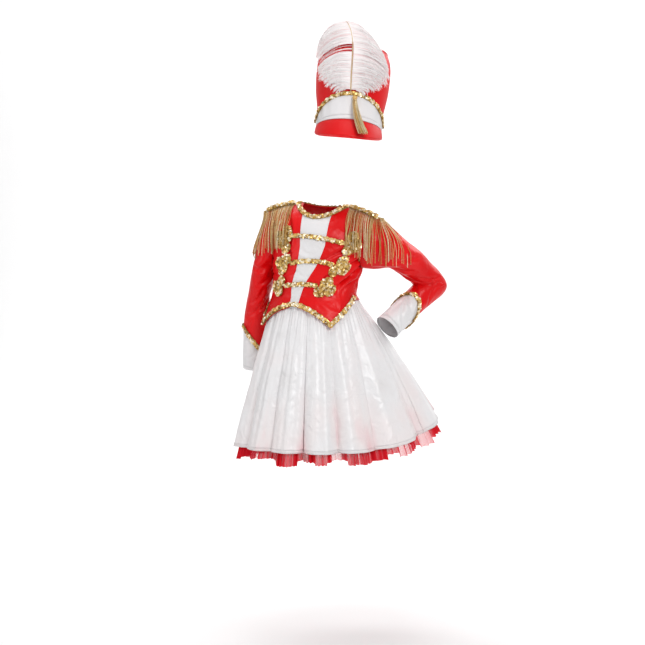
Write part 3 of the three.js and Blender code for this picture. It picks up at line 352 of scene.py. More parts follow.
def noiseNode(tree, vector, scale, detail=3.0, roughness=0.5, distortion=0.0):
    values = {
        "Vector": vector, "Scale": scale, "Detail": detail, "Roughness": roughness, "Distortion": distortion
    }
    return newNode(tree, "TexNoise", values).outputs["Fac"]


def streaks(tree, vector, scale, detail=2.0, roughness=0.5):
    # noise drawn out: the scale says how fast it changes in each direction
    vector = newNode(tree, "Mapping", {"Scale": scale, "Vector": vector}).outputs["Vector"]
    return noiseNode(tree, vector, 1.0, detail, roughness)


def satinGroup():
    # long floats of thread across the cloth, a slow change of tone, and soft crumples
    inputs = {"Cloth": None, "Place": None, "Crumple": 0.5}
    tree, source, out = newGroup("satinSurface", inputs, ["Height", "Tone", "Gloss"])
    threads = streaks(tree, source["Cloth"], (5200, 620, 1), 2.0, 0.6)
    ribs = streaks(tree, source["Cloth"], (90, 1400, 1))
    crumples = noiseNode(tree, source["Place"], 34.0, 2.5, 0.45, 0.9)
    slow = noiseNode(tree, source["Place"], 9.0, 2.0, 0.5, 0.3)
    large = mathNode(tree, "MULTIPLY", crumples, source["Crumple"])
    height = mathNode(tree, "ADD", mixed(tree, threads, 0.03, ribs, 0.025), large)
    feed(tree, out, {"Height": height, "Tone": slow, "Gloss": mixed(tree, threads, 0.5, slow, 0.5)})
    return tree


def stitchGroup():
    # a run of machine stitches at a set distance from an edge: the thread, and the pucker it pulls
    stitch = {"pitch": 0.0028, "share": 0.72, "thread": 0.00045, "pucker": 0.0022}
    tree, source, out = newGroup(
        "stitchRun", {"Across": 0.0, "Along": 0.0, "Inset": 0.009}, ["Thread", "Pucker"]
    )
    off = mathNode(tree, "ABSOLUTE", mathNode(tree, "SUBTRACT", source["Across"], source["Inset"]))
    near, wide = (
        mathNode(tree, "SUBTRACT", 1.0, mathNode(tree, "MULTIPLY", off, 1 / stitch[part]), True)
        for part in ("thread", "pucker")
    )
    step = mathNode(tree, "FRACT", mathNode(tree, "DIVIDE", source["Along"], stitch["pitch"]))
    dash = mathNode(tree, "LESS_THAN", step, stitch["share"])
    feed(tree, out, {"Thread": mathNode(tree, "MULTIPLY", near, dash), "Pucker": wide})
    return tree


def netGroup():
    # even round holes in a net, and the slow unevenness of where its layers lie over each other
    tree, source, out = newGroup("netHoles", {"Cloth": None}, ["Cover", "Layers"])
    values = {"Vector": source["Cloth"], "Scale": 700.0, "Randomness": 0.35}
    cells = newNode(tree, "TexVoronoi", values, feature="DISTANCE_TO_EDGE").outputs["Distance"]
    layers = streaks(tree, source["Cloth"], (42, 5, 1))
    feed(tree, out, {"Cover": mathNode(tree, "LESS_THAN", cells, 0.14), "Layers": layers})
    return tree


def newMaterial(name):
    # with it, what its colours can follow: the cut, the place on the object and the tone
    material = bpy.data.materials.new(name)
    material.use_nodes = True
    tree = material.node_tree
    source = {
        "cut": newNode(tree, "UVMap", {}, uv_map="cut").outputs["UV"],
        "place": newNode(tree, "TexCoord", {}).outputs["Object"],
        "tone": newNode(tree, "Attribute", {}, attribute_name="tone").outputs["Fac"],
    }
    return material, tree, source


def finished(material, values):
    feed(material.node_tree, material.node_tree.nodes["Principled BSDF"], values)
    return material


def groupNode(tree, name, values):
    return newNode(tree, "Group", values, node_tree=groups[name]).outputs


def colourRamp(tree, factor, stops):
    node = newNode(tree, "ValToRGB", {"Fac": factor})
    ramp = node.color_ramp
    while len(ramp.elements) < len(stops):
        ramp.elements.new(0.5)
    for element, (place, colour) in zip(ramp.elements, stops):
        element.position = place
        element.color = (*colour, 1)
    return node.outputs["Color"]


def bumpNode(tree, height, distance):
    return newNode(tree, "Bump", {"Strength": 1.0, "Distance": distance, "Height": height}).outputs["Normal"]


def satinMaterial(name, stops, look):
    # tone 0.5 is plain cloth; above it the colour moves to the last stop, painted light from what comes
    # through from below: on white satin a painted pink reflection of the red net
    material, tree, source = newMaterial(name)
    values = {"Cloth": source["cut"], "Place": source["place"], "Crumple": look["crumple"]}
    surface = groupNode(tree, "satin", values)
    split = newNode(tree, "SeparateXYZ", {0: source["cut"]}).outputs
    stitches = groupNode(
        tree, "stitch", {"Across": split["Y"], "Along": split["X"], "Inset": look["stitchAt"]}
    )
    height = mathNode(
        tree, "SUBTRACT", surface["Height"], mathNode(tree, "MULTIPLY", stitches["Pucker"], 0.5)
    )
    height = mathNode(tree, "ADD", height, mathNode(tree, "MULTIPLY", stitches["Thread"], 0.5))
    return finished(material, {
        "Base Color": colourRamp(tree, shaded(tree, source["tone"], surface["Tone"], look["uneven"]), stops),
        "Roughness": scaled(tree, surface["Gloss"], 0.14, look["rough"] - 0.07),
        "Normal": bumpNode(tree, height, look["relief"]),
        "Anisotropic": look["grain"],
        "Specular IOR Level": look["specular"],
    })


def netMaterial(stops):
    # the more layers lie over each other, the deeper the red and the less shows through
    material, tree, source = newMaterial("redNet")
    net = groupNode(tree, "net", {"Cloth": source["cut"]})
    mix = mixed(tree, net["Layers"], 0.35, source["tone"], 0.75)
    cover = mathNode(tree, "MULTIPLY", net["Cover"], 0.5)
    thick = mathNode(tree, "MULTIPLY", mathNode(tree, "SUBTRACT", mix, 0.12), 1.35)
    alpha = mathNode(tree, "ADD", mathNode(tree, "ADD", cover, thick), 0.05, True)
    colour = colourRamp(tree, mix, stops)
    return finished(
        material, {"Base Color": colour, "Alpha": alpha, "Roughness": 0.75, "Specular IOR Level": 0.15}
    )


def sequinMaterial(stops):
    material, tree, source = newMaterial("sequin")
    rough = scaled(tree, noiseNode(tree, source["place"], 900.0), 0.2, 0.2)
    colour = colourRamp(tree, source["tone"], stops)
    return finished(material, {"Base Color": colour, "Roughness": rough, "Metallic": 0.5})


def cordMaterial(stops):
    # metallic yarn: fine slanted ridges along the strand, and its own tone for each strand
    material, tree, source = newMaterial("goldCord")
    values = {"Scale": 260.0, "Vector": source["cut"]}
    wave = newNode(tree, "TexWave", values, bands_direction="DIAGONAL").outputs["Fac"]
    return finished(material, {
        "Base Color": colourRamp(tree, shaded(tree, source["tone"], wave, 0.3), stops),
        "Normal": bumpNode(tree, wave, 0.0003),
        "Roughness": scaled(tree, wave, 0.2, 0.28),
        "Metallic": 0.12,
    })


def ribbonMaterial(stops):
    # the backing's dark brown is partly the ribbon's own colour and partly painted shade in the gaps between
    # the sequins
    material, tree, source = newMaterial("braidBacking")
    grain = streaks(tree, source["cut"], (1200, 1200, 1), 3.0)
    colour, normal = colourRamp(tree, grain, stops), bumpNode(tree, grain, 0.0004)
    return finished(material, {"Base Color": colour, "Normal": normal, "Roughness": 0.55, "Metallic": 0.35})


def featherMaterial(stops):
    material, tree, source = newMaterial("ostrichFluff")
    down = streaks(tree, source["cut"], (500, 60, 1), 3.0)
    return finished(material, {
        "Base Color": colourRamp(tree, shaded(tree, source["tone"], down, 0.5), stops),
        "Roughness": scaled(tree, down, 0.2, 0.75),
        "Sheen Weight": 0.4,
        "Sheen Roughness": 0.6,
    })


def quillMaterial(stops):
    material, tree, source = newMaterial("featherQuill")
    grain = streaks(tree, source["place"], (900, 900, 40))
    colour, normal = colourRamp(tree, grain, stops), bumpNode(tree, grain, 0.0002)
    return finished(material, {"Base Color": colour, "Normal": normal, "Roughness": 0.45})


print("materials")
groups = {"satin": satinGroup(), "stitch": stitchGroup(), "net": netGroup()}
# places on the ramp from dark to light, each with its colour
stops = {
    "red": [(0.2, (0.54, 0.001, 0.002)), (0.5, (0.74, 0.002, 0.004)), (0.8, (0.88, 0.012, 0.014))],
    "white": [
        (0.15, (0.64, 0.61, 0.60)), (0.5, (0.80, 0.79, 0.80)), (0.72, (0.82, 0.76, 0.76)),
        # the last white stop is pink: the painted reflection of the red net under the skirt
        (1.0, (0.80, 0.50, 0.52)),
    ],
    "net": [(0.25, (0.78, 0.10, 0.13)), (0.6, (0.74, 0.010, 0.030)), (1.0, (0.64, 0.004, 0.010))],
    # the sequin stops run from a dark brown painted dark reflection to a near white painted glint
    "sequin": [
        (0.0, (0.30, 0.14, 0.02)), (0.25, (0.62, 0.38, 0.08)), (0.6, (0.90, 0.64, 0.24)),
        (1.0, (1.0, 0.94, 0.76)),
    ],
    "gold": [
        (0.05, (0.36, 0.15, 0.03)), (0.35, (0.66, 0.37, 0.10)), (0.7, (0.84, 0.58, 0.24)),
        (1.0, (0.99, 0.88, 0.60)),
    ],
    # the backing's dark brown is partly the ribbon's own colour and partly painted shade between the sequins
    "backing": [(0.3, (0.28, 0.16, 0.035)), (0.7, (0.58, 0.40, 0.13))],
    "feather": [(0.1, (0.88, 0.62, 0.63)), (0.4, (0.95, 0.87, 0.87)), (0.8, (0.98, 0.96, 0.96))],
    "quill": [(0.3, (0.45, 0.27, 0.12)), (0.7, (0.75, 0.58, 0.36))],
}
satinLook = {
    "crumple": 1.1, "uneven": 0.5, "rough": 0.34, "relief": 0.002, "grain": 0.45, "specular": 0.24,
    "stitchAt": 0.0035,
}
whiteLook = {**satinLook, "crumple": 1.7, "rough": 0.33, "specular": 0.5, "stitchAt": 0.007}
hatLook = {**satinLook, "crumple": 0.25, "uneven": 0.2, "rough": 0.45, "stitchAt": 0.004}
bandLook = {**satinLook, "crumple": 0.4, "uneven": 0.15, "rough": 0.42, "specular": 0.4, "stitchAt": 0.007}
redSatin = satinMaterial("redSatin", stops["red"], satinLook)
whiteSatin = satinMaterial("whiteSatin", stops["white"], whiteLook)
hatSatin = satinMaterial("hatSatin", stops["red"], hatLook)
bandSatin = satinMaterial("bandSatin", stops["white"], bandLook)
redNet = netMaterial(stops["net"])
sequins = sequinMaterial(stops["sequin"])
backing = ribbonMaterial(stops["backing"])
goldCord = cordMaterial(stops["gold"])
fluff = featherMaterial(stops["feather"])
horn = quillMaterial(stops["quill"])

print("camera and studio")
setCamera()
setStudio()

# The body's own form, as the frame has it.

cut = {
    "waist": -216.0, "chest": -95.0, "domeSteps": 100.0, "shoulderHalf": 150.0, "peak": 24.0, "slope": 0.28,
    "round": 30.0, "roll": 0.077, "roundness": 1.25, "neckHalf": 54.0, "frontNeck": 41.0, "backNeck": 61.0,
    "tip": 140.0, "hemArch": -243.0, "hemPoint": -292.0, "hemSide": -227.0, "pointLeft": 43.0,
    "pointRight": 50.0, "seam": 0.04,
}
ridge = cut["chest"] + cut["domeSteps"]
torso = tableOf("at cx cy wide front back turn", [
    (-238, -25, -6, 108, 88, 86, 19),
    (-190, -20, -5, 108, 92, 88, 14),
    (-140, -13, -3, 114, 96, 92, 4),
    (-95, -7, -2, 122, 94, 94, 0),
])
insetTable = tableOf("at half", [(-244, 9), (-190, 17), (-135, 26), (-75, 33), (-20, 38)])
armholeTable = tableOf("at front back h", [
    (0, 90, 90, -150), (0.16, 79, 81, -143), (0.36, 66, 70, -113), (0.6, 58, 62, -62), (0.84, 57, 61, -14),
    (1, 69, 69, 5),
])
levelColumns = ("cx", "cy", "wide", "front", "back", "turn")
waist = {column: float(read(torso, column, cut["waist"])) for column in levelColumns}
skirt = {
    "length": 377.0, "inset": 2.6, "folds": 13, "foldDepth": 13.0, "gathers": 26, "gatherDepth": 1.3,
    "bell": 0.05, "phase": 4.154,
}
flareCut = {
    "base": 14.0, "swing": 24.0, "swingAt": 138.0, "power": 1.5, "dent": 6.0, "dentAt": -112.0,
    "dentWidth": 28.0,
}


def turned(x, y, degrees):
    c, s = cosD(degrees), sinD(degrees)
    return x * c - y * s, x * s + y * c


def waistRadius(w):
    # distance from the waist's middle to its edge in direction w: 0 is the front, 90 the wearer's left
    x, y = turned(sinD(w), -cosD(w), waist["turn"])
    return 1 / np.hypot(x / waist["wide"], y / np.where(y < 0, waist["front"], waist["back"]))


def flare(w):
    swing = np.maximum(0, cosD(w - flareCut["swingAt"])) ** flareCut["power"]
    away = (w - flareCut["dentAt"] + 180) % 360 - 180
    dent = flareCut["dent"] * np.exp(-((away / flareCut["dentWidth"]) ** 2))
    return flareCut["base"] + flareCut["swing"] * swing - dent


def spread(w, s):
    return skirt["length"] * sinD(flare(w)) * (s + skirt["bell"] * np.sin(math.pi * s))


def foldDepth(s):
    return skirt["foldDepth"] * np.maximum(s, 0) ** 1.1


def gatherDepth(s):
    return skirt["gatherDepth"] * smooth(0, 0.06, s) * (1 - smooth(0.15, 0.5, s))


def foldWave(w):
    # broad round folds with narrow valleys, uneven round the skirt
    u = np.radians(skirt["folds"] * (w - skirt["phase"])) / 2
    uneven = 1 + 0.22 * np.sin(np.radians(3 * w) + 0.6) + 0.14 * sinD(5 * w)
    return uneven * (2 * (np.sin(u) ** 2) ** 0.4 - 1)


def skirtPoint(w, s, out=0.0):
    # polar form round the waist: waist edge, flare, folds and gathers added up, at a drop that goes with s
    gather = gatherDepth(s) * cosD(skirt["gathers"] * (w - skirt["phase"]))
    r = waistRadius(w) - skirt["inset"] + spread(w, s) + foldDepth(s) * foldWave(w) - gather + out
    z = cut["waist"] - skirt["length"] * cosD(flare(w)) * s
    return xyz(waist["cx"] + sinD(w) * r, waist["cy"] - cosD(w) * r, z)


def bodicePoint(t, h):
    # level ellipses that turn with height; a dome over the shoulders; below the waist it lies on the skirt
    t, h = np.broadcast_arrays(np.asarray(t, float), np.asarray(h, float))
    level = {column: read(torso, column, np.clip(h, cut["waist"], cut["chest"])) for column in levelColumns}
    sine, cosine = sinD(t), cosD(t)
    depth = np.where(cosine > 0, level["front"], level["back"])
    x, y = turned(level["wide"] * sine, -depth * cosine, -level["turn"])
    straight = xyz(level["cx"] + x, level["cy"] + y, h)
    w = np.degrees(np.arctan2(x, -y))
    s = np.maximum(0, (cut["waist"] - h) / (skirt["length"] * cosD(flare(w))))
    over = foldDepth(s) * 1.36 + skirt["gatherDepth"] * smooth(0, 0.06, s) + smooth(0, 0.08, s)
    r = waistRadius(w) + spread(w, s) + over
    flap = xyz(level["cx"] + sinD(w) * r, level["cy"] - cosD(w) * r, h)
    rise = np.clip((h - cut["chest"]) / cut["domeSteps"], 0, 1)
    up = np.sin(rise * math.pi / 2)
    bulge = np.maximum(np.cos(rise * math.pi / 2), 0) ** cut["roundness"]
    across = lerp(level["wide"], cut["shoulderHalf"], rise) * sine
    top = cut["peak"] - cut["slope"] * np.hypot(across, cut["round"])
    z = cut["chest"] + (top - cut["chest"] - cut["roll"] * across) * up
    dome = xyz(level["cx"] * (1 - rise) + across, level["cy"] * (1 - rise) - depth * bulge * cosine, z)
    high, low = (h > cut["chest"])[..., None], (h < cut["waist"])[..., None]
    return np.where(high, dome, np.where(low, flap, straight))


def bodiceNormal(t, h):
    h = np.minimum(h, ridge - 0.6)
    alongT = bodicePoint(t + 0.5, h) - bodicePoint(t - 0.5, h)
    return unit(np.cross(alongT, bodicePoint(t, h + 0.5) - bodicePoint(t, h - 0.5)))


def angleAt(x, h):
    rise = np.clip((h - cut["chest"]) / cut["domeSteps"], 0, 1)
    wide = lerp(read(torso, "wide", np.clip(h, cut["waist"], cut["chest"])), cut["shoulderHalf"], rise)
    return np.degrees(np.arcsin(np.clip(x / wide, -1, 1)))


def neckHeight(x, angle):
    sag = np.sqrt(np.maximum(0, 1 - (x / cut["neckHalf"]) ** 2))
    return cut["chest"] + cut["domeSteps"] * (90 - (90 - angle) * sag) / 90


def insetAngle(h):
    return angleAt(read(insetTable, "half", np.clip(h, -244, -20)), h)


def hemHeight(t):
    # an arch over the middle, a point at each side, then up to the side seam
    point = np.where(np.asarray(t) < 0, cut["pointRight"], cut["pointLeft"])
    t = np.abs(t)
    k = np.clip(t / point, 0, 1)
    arch = lerp(cut["hemArch"], cut["hemPoint"], 0.62 * k**2 + 0.38 * k**1.4)
    k = np.clip((t - point) / (90 - point), 0, 1)
    side = lerp(cut["hemPoint"], cut["hemSide"], 1 - (1 - k) ** 1.25)
    return np.where(t < point, arch, side)


def armhole(k, face):
    t = read(armholeTable, face, k)
    return (t if face == "front" else 180 - t), read(armholeTable, "h", k)


# Bodice: five panels of satin on that form.

bodice = {
    "columns": 72, "below": 16, "side": 26, "arm": 76, "sideShare": 0.3, "ridgeGap": 1.1, "wall": 1.0,
    "neckShare": {"front": 0.3, "back": 0.5}, "perDegree": 1.95, "deep": 2.7, "slack": (1.2, 14.0),
    "ease": 0.6, "out": 0.45, "flat": (0.17, 0.32), "backFlat": (0.2, 0.25), "cover": 0.66,
}
creaseShare = 0.85  # troughs are pressed in so much narrower than their tables say
# pulls in the cloth: angle and height of each end, width and depth
pulls = {
    "frontLeft": [
        (89, -138, 66, -178, 6, 3.0), (88, -148, 55, -205, 7, 3.4), (82, -166, 44, -214, 5, 2.4),
        (86, -130, 52, -150, 6, 2.4), (64, -108, 22, -126, 6, 1.7), (78, -118, 38, -139, 5, 1.8),
        (89, -178, 62, -213, 5, 2.2), (30, -196, 58, -248, 8, 1.8), (56, -160, 30, -172, 5, 1.4),
        (70, -232, 58, -270, 6, 1.4), (44, -30, 46, -92, 7, 1.3),
    ],
    "frontRight": [
        (86, -146, 60, -186, 7, 2.6), (80, -116, 56, -150, 6, 2.0), (34, -40, 30, -104, 6, 1.3),
        (88, -182, 64, -211, 5, 2.0), (54, -236, 40, -272, 7, 1.6), (74, -168, 34, -176, 5, 1.5),
        (50, -96, 24, -118, 5, 1.4), (84, -205, 60, -236, 6, 1.8),
    ],
    "backLeft": [
        (92, -150, 124, -196, 7, 2.8), (96, -136, 134, -160, 6, 2.2), (104, -180, 150, -212, 6, 2.0),
        (118, -60, 150, -88, 7, 1.6), (94, -186, 118, -212, 5, 2.0), (130, -110, 168, -126, 6, 1.3),
    ],
    "backRight": [
        (92, -150, 120, -192, 7, 2.4), (100, -132, 140, -150, 6, 1.8), (98, -190, 140, -213, 6, 2.2),
        (124, -50, 158, -84, 7, 1.5), (134, -120, 172, -142, 6, 1.3),
    ],
}


def patch(bottom, top, left, right, s, t):
    # a four-sided patch whose inner points follow its four edges
    ends = np.zeros(1), np.ones(1)
    grids = []
    for k in (0, 1):
        upward, sideways = lerp(bottom(s)[k], top(s)[k], t), lerp(left(t)[k], right(t)[k], s)
        low, high = (lerp(edge(ends[0])[k], edge(ends[1])[k], s) for edge in (bottom, top))
        grids.append(upward + sideways - lerp(low, high, t))
    return grids


def outerEdge(face):
    back = -cut["seam"] if face == "front" else cut["seam"]
    share = bodice["sideShare"]

    def edge(k):
        t, h = armhole(np.clip((k - share) / (1 - share), 0, 1), face)
        t = t + back * (1 - smooth(share, share + 0.1, k))
        h = np.where(
            k < share, lerp(cut["waist"], -150, k / share), np.minimum(h, ridge - bodice["ridgeGap"])
        )
        return np.where(k < share, 90 + back, t), h

    return edge


def topEdge(face, innerX):
    angle = cut["frontNeck"] if face == "front" else cut["backNeck"]
    share = bodice["neckShare"][face]
    flip = (lambda t: t) if face == "front" else (lambda t: 180 - t)
    tip = flip(armhole(np.ones(1), face)[0])
    neckPoint = angleAt(cut["neckHalf"], ridge)
    high = ridge - bodice["ridgeGap"]

    def edge(s):
        turn = lerp(math.asin(innerX / cut["neckHalf"]), math.pi / 2, np.clip(s / share, 0, 1))
        x = cut["neckHalf"] * np.sin(turn)
        h = np.minimum(neckHeight(x, angle), high)
        far = s >= share
        t = np.where(far, lerp(neckPoint, tip, (s - share) / (1 - share)), angleAt(x, h))
        return flip(t), np.where(far, high, h)

    return edge


def panelRows():
    # heights as shares of the panel: below the waist, then up the side seam, then along the armhole
    below = np.linspace(0, 1, bodice["below"], endpoint=False)
    above = np.concatenate([
        np.linspace(0, bodice["sideShare"], bodice["side"], endpoint=False),
        np.linspace(bodice["sideShare"], 1, bodice["arm"]),
    ])
    return below, above


def clothOn(side, t, h, rows):
    # bodice points with their pulls pressed in and a little softness added
    points = bodicePoint(side * t, h)
    normals = bodiceNormal(side * t, h)
    per, deep = bodice["perDegree"], bodice["deep"]
    rows = [(a * per, b, c * per, d, width * creaseShare, depth * deep) for a, b, c, d, width, depth in rows]
    push = creases(t * per, h, rows)
    soft = softNoise(t * 0.09 * side + 20, h * 0.045 + 20, 3) * 0.8
    soft = soft + softNoise(t * 0.22 * side + 30, h * 0.11 + 30, 5) * 0.4
    soft = soft * (1 - smooth(165, 179, t))
    push = np.minimum(push + soft - bodice["ease"], bodice["out"])
    # over the skirt there is little room to press in
    slack = lerp(*bodice["slack"], smooth(cut["waist"], cut["waist"] + 24, h))
    push = np.maximum(push, -slack)
    return points + normals * push[..., None], normals


def easeWaist(points, height, passes=10, reach=14.0):
    # rounds the bend at the waist by averaging each row with its neighbours, most at the waist itself
    weight = np.exp(-(((height - cut["waist"]) / reach) ** 2))[1:-1, :, None] * 0.5
    for _ in range(passes):
        middle = (points[:-2] + points[2:]) / 2
        points = points.copy()
        points[1:-1] = lerp(points[1:-1], middle, weight)
    return points


def panel(name, node, side, edges, rows):
    s = np.linspace(0, 1, bodice["columns"])[None, :]
    below, above = panelRows()
    low = [lerp(a, b, below[:, None]) for a, b in zip(edges["hem"](s), edges["waistline"](s))]
    high = patch(edges["waistline"], edges["top"], edges["left"], edges["right"], s, above[:, None])
    t, h = (np.concatenate(pair) for pair in zip(low, high))
    points, normals = clothOn(side, t, h, rows)
    points = easeWaist(points, h)
    part = clothPart(points, normals, tone=0.5 + 0.08 * softNoise(t * 0.05, h * 0.02, 9))
    piece = buildPiece(name, [part], [redSatin], [node], bodice["wall"])


def makeBodice():
    start = float(insetAngle(cut["hemArch"])) + cut["seam"]
    corner = float(neckHeight(38.0, cut["frontNeck"]))
    seam, low = cut["seam"], cut["waist"]
    edgeHeight = lambda k: lerp(low, corner, k)
    front = {
        "waistline": lambda s: (lerp(insetAngle(low) + seam, 90 - seam, s), np.full(np.shape(s), low)),
        "left": lambda k: (insetAngle(edgeHeight(k)) + seam, edgeHeight(k)),
        "right": outerEdge("front"),
        "top": topEdge("front", 38.2),
    }
    centre = 180 - seam / 4
    across = lambda s: lerp(centre, 90 + seam, s)
    backTop = float(neckHeight(0.0, cut["backNeck"]))
    back = {
        "hem": lambda s: (across(s), np.full(np.shape(s), cut["hemSide"])),
        "waistline": lambda s: (across(s), np.full(np.shape(s), low)),
        "left": lambda k: (np.full(np.shape(k), centre), lerp(low, backTop, k)),
        "right": outerEdge("back"),
        "top": topEdge("back", 0.3),
    }
    for word, side in (("Left", 1), ("Right", -1)):
        front["hem"] = lambda s: (lerp(start, 90 - seam, s), hemHeight(side * lerp(start, 90 - seam, s)))
        panel(
            f"bodiceFront{word}", f"front_{word.lower()}", side, front, pulls[f"front{word}"]
        )
        panel(
            f"bodiceBack{word}", f"back_{word.lower()}", side, back, pulls[f"back{word}"]
        )
    q = np.linspace(-1, 1, 40)[None, :]
    below, above = panelRows()
    foot = (insetAngle(cut["hemArch"]) - seam) * q, hemHeight(insetAngle(cut["hemArch"]) * q)
    atWaist = (insetAngle(low) - seam) * q, np.full(q.shape, low)
    lowRows = [lerp(a, b, below[:, None]) for a, b in zip(foot, atWaist)]
    edge = edgeHeight(above[:, None])
    sunk = (corner - neckHeight(38 * q, cut["frontNeck"])) * above[:, None]
    t = np.concatenate([lowRows[0], (insetAngle(edge) - seam) * q])
    h = np.concatenate([lowRows[1], edge - sunk])
    points, normals = clothOn(
        1, t, h, [(-16, -150, 18, -168, 5, 0.9), (-14, -100, 8, -118, 6, 0.7), (12, -196, -8, -222, 4, 0.9)]
    )
    points = easeWaist(points, h)
    inset = buildPiece(
        "frontInset", [clothPart(points, normals)], [whiteSatin], ["front_inset"],
        bodice["wall"],
    )


print("bodice")
makeBodice()

# Sleeves and cuffs.

arms = {
    "Right": {
        "side": -1, "cuff": (30, 110, 10), "rows": 150,
        "sections": [
            (-158, 2, -62, -131, 0, -158, 44), (-170, 6, -115, -131.5, 5, -176, 42),
            (-184, 12, -165, -138, 14, -196, 40), (-199, 21, -215, -146, 26, -224, 37),
            (-209, 29, -258, -149, 33, -260, 36), (-215, 38, -305, -152, 42, -309, 34),
            (-219, 46, -354, -158, 50, -358, 32), (-221, 53, -402, -163, 57, -405, 31),
        ],
        # where each fold runs: turn round the arm and section at both ends, width and depth
        "folds": [
            (150, 0.8, 52, 2.4, 7, 3.4), (168, 1.4, 84, 3.2, 7, 3.0), (138, 2.9, 56, 4.4, 7, 2.8),
            (200, 2.2, 286, 3.8, 7, 2.4), (124, 4.3, 34, 5.2, 6, 2.4), (112, 1.0, 30, 2.0, 7, 2.0),
            (196, 0.9, 300, 2.1, 8, 2.4), (90, 5.0, 20, 6.0, 6, 1.6), (160, 3.9, 96, 4.9, 5, 2.2),
            (210, 4.2, 300, 5.2, 6, 2.0),
        ],
        "cuffFolds": [(120, 6.7, 40, 7.4, 5, 1.5), (60, 7.0, 350, 7.7, 5, 1.2), (250, 6.9, 180, 7.6, 5, 1.4)],
        "flat": (0.27, 0.31), "area": 0.062, "cuffFlat": (0.21, 0.11), "cuffArea": 0.0145,
    },
    "Left": {
        "side": 1, "cuff": (30, 103, 115), "rows": 190,
        "sections": [
            (178, 17, -61, 132, 5, -152, 44), (201, 41, -85, 151, 30, -145, 41),
            (225, 73, -108, 169, 60, -158, 38), (246, 103, -135, 188, 90, -175, 37),
            (269, 125, -162, 200, 109, -188, 37), (283, 139, -191, 203, 120, -193, 37),
            (277, 131, -213, 199, 113, -198, 36), (250, 111, -238, 189, 96, -209, 35),
            (225, 86, -263, 173, 74, -228, 33), (200, 58, -291, 153, 48, -250, 32),
            (175, 32, -319, 131, 22, -273, 31),
        ],
        "folds": [
            (172, 5.5, 62, 4.7, 5, 3.6), (176, 5.9, 74, 5.8, 5, 3.2), (172, 6.3, 66, 7.0, 5, 3.4),
            (190, 5.6, 286, 5.0, 6, 2.8), (188, 6.3, 292, 6.9, 6, 2.8), (156, 0.9, 92, 3.4, 7, 2.8),
            (128, 0.7, 60, 2.4, 7, 2.4), (164, 2.5, 106, 4.5, 6, 2.8), (104, 3.9, 26, 5.0, 6, 2.4),
            (66, 7.1, 16, 8.5, 6, 1.8), (140, 7.2, 84, 8.6, 6, 2.2), (200, 1.2, 300, 3.0, 8, 2.4),
            (214, 3.2, 300, 4.6, 7, 2.2), (80, 1.6, 30, 3.0, 6, 1.6),
        ],
        "cuffFolds": [
            (140, 8.6, 60, 9.6, 5, 1.8), (120, 9.4, 30, 10.6, 5, 1.6), (330, 9.2, 250, 10.2, 5, 1.5),
            (70, 8.8, 10, 9.8, 4, 1.2),
        ],
        "flat": (0.28, 0.39), "area": 0.085, "cuffFlat": (0.21, 0.105), "cuffArea": 0.0141,
    },
}
sleeve = {"around": 132, "cuffRows": 46, "wall": 1.0, "perDegree": 0.64, "perSection": 38.0, "deep": 1.45}


def armholeRing(side, around):
    # the armhole's edge from the tip round the front to the underarm and back, lapped out at the underarm
    up = np.where(around <= 0.5, 1 - around * 2, around * 2 - 1)
    isFront = around <= 0.5
    front, back = armhole(up, "front"), armhole(up, "back")
    t, h = np.where(isFront, front[0], back[0]), front[1]

    def place(k):
        k = np.clip(k, 0, 1)
        a, b = armhole(k, "front"), armhole(k, "back")
        return bodicePoint(side * np.where(isFront, a[0], b[0]), np.minimum(a[1], ridge - 0.4))

    normal = bodiceNormal(side * t, h)
    edge = unit(place(up + 0.02) - place(up - 0.02))
    outward = np.cross(edge, normal) * side * np.where(isFront, 1, -1)[..., None]
    lapped = normal * 2.3 + np.array([0, 0, 0.4])
    flatOut = lerp(outward, np.array([side, 0.0, 0.0]), smooth(0.8, 1, up)[..., None])
    return place(up) + lerp(lapped, unit(flatOut) * 0.9, smooth(0.22, 0.5, up)[..., None]), normal


def sleeveTable(arm):
    side = arm["side"]
    tip = armholeRing(side, np.array([0.0]))[0][0]
    under = armholeRing(side, np.array([0.5]))[0][0]
    rows = [(*tip, *under, 42), *arm["sections"]]
    return tableOf("at ox oy oz ix iy iz half", [(i, *row) for i, row in enumerate(rows)])


def sleevePoint(arm, around, at):
    # an ellipse between an outer and an inner line, facing along the arm, growing out of the armhole's edge
    table = arm["table"]
    ends = len(table["at"]) - 1
    line = lambda prefix, v: np.stack([read(table, prefix + axis, v) for axis in "xyz"], -1)
    centre = lambda v: (line("o", v) + line("i", v)) / 2
    across = line("o", at) - line("i", at)
    along = centre(np.minimum(at + 0.2, ends)) - centre(np.maximum(at - 0.2, 0))
    facing = unit(np.cross(along, across))
    facing = facing * np.where(facing[..., 1:2] > 0, -1, 1)
    angle = (around * 2 * math.pi)[..., None]
    forward = facing * (read(table, "half", at)[..., None] * np.sin(angle))
    tube = centre(at) + across * np.cos(angle) / 2 + forward
    ring = armholeRing(arm["side"], around % 1)[0]
    return lerp(ring, tube, smooth(0, 2, at)[..., None])


def rowFromEnd(arm, distance):
    table = arm["table"]
    at = np.linspace(0, len(table["at"]) - 1, 400)
    centre = sum(np.stack([read(table, p + axis, at) for axis in "xyz"], -1) for p in "oi") / 2
    run = np.concatenate([[0], np.cumsum(np.linalg.norm(np.diff(centre, axis=0), axis=1))])
    return np.interp(run[-1] - distance, run, at)


def cuffLength(arm, around):
    low, high, peak = arm["cuff"]
    return lerp(low, high, (1 + np.cos(around * 2 * math.pi - math.radians(peak))) / 2)


